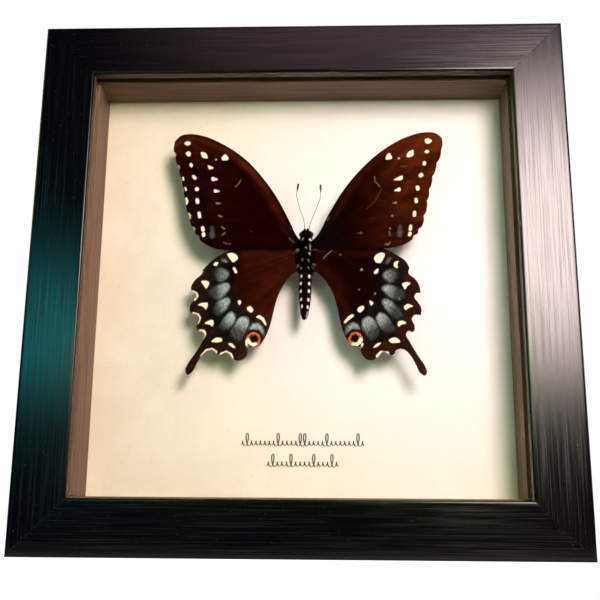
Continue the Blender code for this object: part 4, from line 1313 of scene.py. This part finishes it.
# %% Body
def body_point(profile, angle, puff=0.0):
    """Points of the body: a ring of half width w and depth DEEPER times w on a leaning axis.

    angle 0 faces the viewer's right and -90 degrees faces the viewer."""
    z, w = profile[..., 0], profile[..., 1]
    crease = np.abs((z + 8.6) % RING_PITCH - RING_PITCH / 2) - RING_PITCH / 2
    w = w * (1 - 0.07 * np.exp(-(crease / 0.22)**2) * (z < -8)) + puff
    return np.stack([THORAX[0] + LEAN * z + w * np.cos(angle),
                     THORAX[1] + DEEPER * w * np.sin(angle), THORAX[2] + z], -1)

def body_marks(points):
    """White dots on the side that faces the viewer, for points in the frame."""
    flat = np.stack([points[:, 0] - THORAX[0], points[:, 2] - THORAX[2]], 1)
    return cover(flat, BODY_DOTS, 0.14) * rise(THORAX[1] - points[:, 1], -0.3, 0.3)

def fur_material(name, colour, gloss, level=0.05):
    """Black chitin or hair with white marks; fine noise keeps it from looking moulded."""
    made, tree, shader = material(name, specular_ior_level=level)
    given = use(tree, specks, {"Place": places(tree), "Speck Scale": 4000.0,
                               "Cloud Scale": 700.0, "Amount": 0.6})
    base = mix(tree, given["Clouds"], colour, tuple(c * 0.35 for c in colour))
    base = mix(tree, attribute(tree, "cream"), base, (0.85, 0.78, 0.68))
    finish_with(tree, shader, colour=base,
                roughness=maths(tree, "MULTIPLY_ADD", given["Specks"], 0.2, gloss),
                normal=bump(tree, given["Fibres"], 0.00003))
    return made

AROUND = 65
angle = np.linspace(0, 2 * math.pi, AROUND)
profile = np.broadcast_to(BODY_PROFILE[:, None], (len(BODY_PROFILE), AROUND, 2))
points = body_point(profile, np.broadcast_to(angle, profile.shape[:2]))
points = points.reshape(-1, 3)
chitin = fur_material("black_chitin", (0.006, 0.0016, 0.0006), 0.45, level=0.02)
body = put_piece("specimen_body", chitin, points,
                 [grid_faces(len(BODY_PROFILE), AROUND)], marks={"cream": body_marks(points)})
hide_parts("butterfly_body")
print("body", triangles(body), "triangles")

# %% Eyes
BEAD_UP, BEAD_AROUND = 25, 41

def bead(name, centre, radii, finish):
    """An ellipsoid: latitude and longitude on a grid, scaled by three radii."""
    up, round_ = np.meshgrid(np.linspace(-math.pi / 2, math.pi / 2, BEAD_UP),
                             np.linspace(0, 2 * math.pi, BEAD_AROUND), indexing="ij")
    shape = np.stack([np.cos(up) * np.cos(round_), np.cos(up) * np.sin(round_), np.sin(up)], -1)
    points = (np.array(centre) + shape * np.array(radii)).reshape(-1, 3)
    return put_piece(name, finish, points,
                     [grid_faces(BEAD_UP, BEAD_AROUND)],
                     marks={"cream": np.zeros(len(points))})

eye_gloss = fur_material("eye_gloss", (0.010, 0.004, 0.002), 0.12, level=0.5)
EYE_SIDE, EYE_UP = 1.6, 4.5
for side, word in ((-1, "left"), (1, "right")):
    bead(f"eye_{word}", THORAX + (side * EYE_SIDE + 0.1, -0.7, EYE_UP), (0.88, 0.9, 0.95),
         eye_gloss)
    bead(f"palp_{word}", THORAX + (side * 0.5 + 0.1, -1.7, 5.6), (0.42, 0.55, 0.8), chitin)
print("eyes and palps made")

# %% Fur
BLADE_POINTS = 7

def fur(name, roots, ways, lengths, width, finish, marks):
    """Three-sided blades: a ring of three points at the root and half way, and one tip.

    A blade runs along its way and droops backwards by a share of its length."""
    dice = np.random.default_rng(len(roots))
    ways = ways / np.linalg.norm(ways, axis=1)[:, None]
    side = np.cross(ways, dice.normal(size=ways.shape))
    side = side / np.linalg.norm(side, axis=1)[:, None]
    other = np.cross(ways, side)
    turn = np.radians([0, 120, 240])[None, :, None]
    ring = width * (np.cos(turn) * side[:, None] + np.sin(turn) * other[:, None])
    reach = (ways * lengths[:, None])[:, None]
    droop = np.array([0, 0, -0.25]) * lengths[:, None, None]
    base, middle = roots[:, None] + ring, roots[:, None] + 0.5 * reach + 0.25 * droop + 0.75 * ring
    tip = roots[:, None] + reach + droop
    points = np.concatenate([base, middle, tip], 1).reshape(-1, 3)
    first = BLADE_POINTS * np.arange(len(roots))[:, None, None]
    quads = first + np.array([[0, 1, 4, 3], [1, 2, 5, 4], [2, 0, 3, 5]])
    tips = first + np.array([[3, 4, 6], [4, 5, 6], [5, 3, 6], [0, 2, 1]])
    return put_piece(name, finish, points,
                     [quads.reshape(-1, 4), tips.reshape(-1, 3)],
                     marks={"cream": np.repeat(marks, BLADE_POINTS)})

def scattered_roots(count, low, high, seed):
    """Random places on the body between two heights, with the way out of the surface."""
    dice = np.random.default_rng(seed)
    z = dice.uniform(low, high, count)
    w = np.interp(z, BODY_PROFILE[::-1, 0], BODY_PROFILE[::-1, 1])
    angle = dice.uniform(0, 2 * math.pi, count)
    roots = body_point(np.stack([z, w], -1), angle, -0.05)
    out = np.stack([np.cos(angle), np.sin(angle) / DEEPER, np.zeros(count)], -1)
    return roots, out, dice

hair = fur_material("body_hair", (0.001, 0.0003, 0.0002), 0.5, level=0.0)
short_hair = fur_material("abdomen_hair", (0.024, 0.005, 0.001), 0.55, level=0.0)
roots, out, dice = scattered_roots(4200, -8.8, 6.0, 41)
ways = out * 0.55 + np.array([0, 0, -0.7]) + dice.normal(scale=0.35, size=roots.shape)
head = roots[:, 2] > THORAX[2] + 4.0
ways[head] = out[head] + dice.normal(scale=0.5, size=(head.sum(), 3)) + np.array([0, 0, 0.5])
lengths = np.where(head, 0.55, 1.0) * dice.uniform(0.5, 1.2, len(roots))
thorax_fur = fur("thorax_fur", roots, ways, lengths, 0.045, hair, body_marks(roots))
roots, out, dice = scattered_roots(2600, -24.6, -8.4, 42)
ways = out * 0.35 + np.array([0, 0, -1.0]) + dice.normal(scale=0.2, size=roots.shape)
abdomen_fur = fur("abdomen_fur", roots, ways, dice.uniform(0.25, 0.55, len(roots)), 0.035,
                  short_hair, body_marks(roots))
print("fur:", triangles(thorax_fur), "+", triangles(abdomen_fur), "triangles")

# %% Tufts over the wing roots
def tuft(name, side, seed, count=420):
    """Longer hairs that leave the thorax sideways and lie over the roots of the wings."""
    dice = np.random.default_rng(seed)
    z = dice.uniform(-9.0, 1.8, count)
    roots = np.stack([THORAX[0] + side * dice.uniform(1.6, 2.4, count),
                      WINGS - dice.uniform(-0.2, 0.8, count), THORAX[2] + z], 1)
    ways = np.stack([side * np.full(count, 1.0), dice.uniform(-0.10, 0.12, count),
                     0.045 * z + dice.normal(scale=0.25, size=count)], 1)
    lengths = dice.uniform(0.8, 2.4, count) * (1 - 0.5 * rise(-z, 2.0, 9.0))
    return fur(name, roots, ways, lengths, 0.04, hair, body_marks(roots))

tufts = [tuft("root_tuft_left", -1, 51), tuft("root_tuft_right", 1, 52)]
print("tufts:", [triangles(piece) for piece in tufts])

# %% [markdown]
# ## Antennae
#
# An antenna is a thread of short rings that swells to a club. A circle carried along a curve
# makes it, and the circle's radius pulses once for each ring.

# %% Tubes along a curve
def tube(path, radius, sides=10):
    """Rings of points round a path; the ring's plane follows the path's direction."""
    way = np.gradient(path, axis=0)
    way = way / np.linalg.norm(way, axis=1)[:, None]
    side = np.cross(way, np.array([0, 1.0, 0]))
    side = side / np.linalg.norm(side, axis=1)[:, None]
    other = np.cross(way, side)
    turn = np.linspace(0, 2 * math.pi, sides, endpoint=False)[None, :, None]
    return path[:, None] + radius[:, None, None] * (np.cos(turn) * side[:, None]
                                                    + np.sin(turn) * other[:, None])

def antenna(name, node, points, finish):
    """A tube whose radius is the shaft's, plus a bell at the club, times a pulse for each ring."""
    low, high = node_box(node)
    flat = evenly(through(points, 12), 0.07)
    run = along_line(flat)
    share = run / run[-1]
    depth = (low[1] + high[1]) / 2 - 0.2 * np.sin(share * math.pi)
    path = np.stack([THORAX[0] + flat[:, 0], depth, THORAX[2] + flat[:, 1]], 1)
    club = rise(run, run[-1] - 3.6, run[-1] - 1.2)
    radius = (0.10 + 0.27 * club) * (1 + 0.07 * np.cos(run / 0.42 * 2 * math.pi))
    radius = radius * np.sqrt(np.clip((run[-1] - run) / 0.3, 0.001, 1))
    rings = tube(path, radius)
    rows, sides = rings.shape[:2]
    first = np.arange(sides)
    piece = put_piece(name, finish, rings.reshape(-1, 3),
                      [grid_faces(rows, sides, around=True), first[None, ::-1],
                       first[None] + (rows - 1) * sides], marks={"club": np.repeat(club, sides)})
    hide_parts(node)
    return piece

def horn_material():
    """Dark brown horn, paler on the shaft, almost black on the club."""
    made, tree, shader = material("antenna_horn")
    given = use(tree, specks, {"Place": places(tree), "Speck Scale": 6000.0,
                               "Cloud Scale": 1500.0, "Amount": 0.6})
    shaft = mix(tree, given["Clouds"], (0.045, 0.032, 0.022), (0.022, 0.016, 0.012))
    colour = mix(tree, attribute(tree, "club"), shaft, (0.012, 0.009, 0.008))
    finish_with(tree, shader, colour=colour,
                roughness=maths(tree, "MULTIPLY_ADD", given["Clouds"], 0.2, 0.4),
                normal=bump(tree, given["Fibres"], 0.00001))
    return made

horn = horn_material()
left_antenna = antenna("antenna_ringed_left", "antenna_left", [
    (-0.3, 5.4), (-0.8, 9.6), (-2.2, 13.7), (-2.9, 16.5), (-3.3, 18.5), (-3.1, 20.0),
    (-2.7, 22.75)], horn)
right_antenna = antenna("antenna_ringed_right", "antenna_right", [
    (0.8, 5.4), (1.7, 8.9), (2.6, 11.2), (4.2, 15.5), (4.9, 17.9), (4.95, 20.1),
    (4.9, 22.4)], horn)
print("antennae:", triangles(left_antenna), triangles(right_antenna), "triangles")

# %% [markdown]
# ## Pen flourish under the specimen
#
# Under a mounted specimen there is a handwritten label. Here the place holds two rows of pen
# loops that say nothing, the same forwards and backwards. A broad pen makes thick and thin
# strokes by its angle, so the ribbon's width follows the direction of the line.

# %% Flourish
PEN_ANGLE, PEN_FINE, PEN_BROAD = 10.0, 0.13, 0.30
INK_THICK = 0.04
SMALL_LOOP, TALL_LOOP, LOOP_WIDTH = 1.5, 4.0, 0.30
LABEL_MIDDLE = 0.6

def pen_row(name, half_length, loops, tall, base, finish):
    """Rising loops: x runs evenly plus a sine of the turn, z is half of one minus its cosine.

    The height of the loops is small everywhere but at the places in `tall`, where a bell
    lifts it. The left half is the mirror image of the right half."""
    t = np.linspace(0, 1, 120 * loops)
    turn = 2 * math.pi * (loops * t)
    lifted = sum(np.exp(-((loops * t - place) / 0.42)**2) for place in tall)
    height = SMALL_LOOP + (TALL_LOOP - SMALL_LOOP) * np.clip(lifted, 0, 1)
    x = half_length * t + (LOOP_WIDTH + 0.5 * lifted) * np.sin(turn)
    z = height * (1 - np.cos(turn)) / 2 - 0.9 * lifted * np.cos(turn / 2)**8
    half = np.stack([x, z], 1)
    line = evenly(np.vstack([half[:0:-1] * (-1, 1), half]), 0.1)
    way = np.gradient(line, axis=0)
    way = way / np.linalg.norm(way, axis=1)[:, None]
    lean = np.abs(np.sin(np.arctan2(way[:, 1], way[:, 0]) - math.radians(PEN_ANGLE)))
    width = (PEN_FINE + PEN_BROAD * lean**2)[:, None] / 2
    across = np.stack([-way[:, 1], way[:, 0]], 1) * width
    centre = line + (LABEL_MIDDLE, base)
    y = np.full(len(line), PAPER - 0.02)
    corner = [np.stack([p[:, 0], y - thick, p[:, 1]], 1) for p, thick in
              ((centre - across, 0), (centre - across, INK_THICK),
               (centre + across, INK_THICK), (centre + across, 0))]
    points = np.stack(corner, 1)
    count = len(line)
    ends = np.arange(4)
    return put_piece(name, finish, points.reshape(-1, 3),
                     [grid_faces(count, 4, around=True), ends[None, ::-1],
                      ends[None] + (count - 1) * 4], smooth=False)

ink = sheet("faded_ink", (0.085, 0.062, 0.045), (0.05, 0.036, 0.028), (0.2, 0.15, 0.11),
            cloud_scale=600.0, depth=0.00001, amount=0.6)
rows = [pen_row("flourish_upper", 20.6, 14, (0.5, 5.5, 12.5), 35.6, ink),
        pen_row("flourish_lower", 12.0, 8, (2.5, 6.5), 28.8, ink)]
print("flourish:", [triangles(piece) for piece in rows])

# %% Print the imported box and the visual box, and finish
def plain(bounds):
    """A box as lists of numbers."""
    return [[float(c) for c in corner] for corner in bounds]

visual_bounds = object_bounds()
{"cad": plain(cad_bounds), "visual": plain(visual_bounds)}
print("cad box:", plain(cad_bounds), "visual box:", plain(visual_bounds))
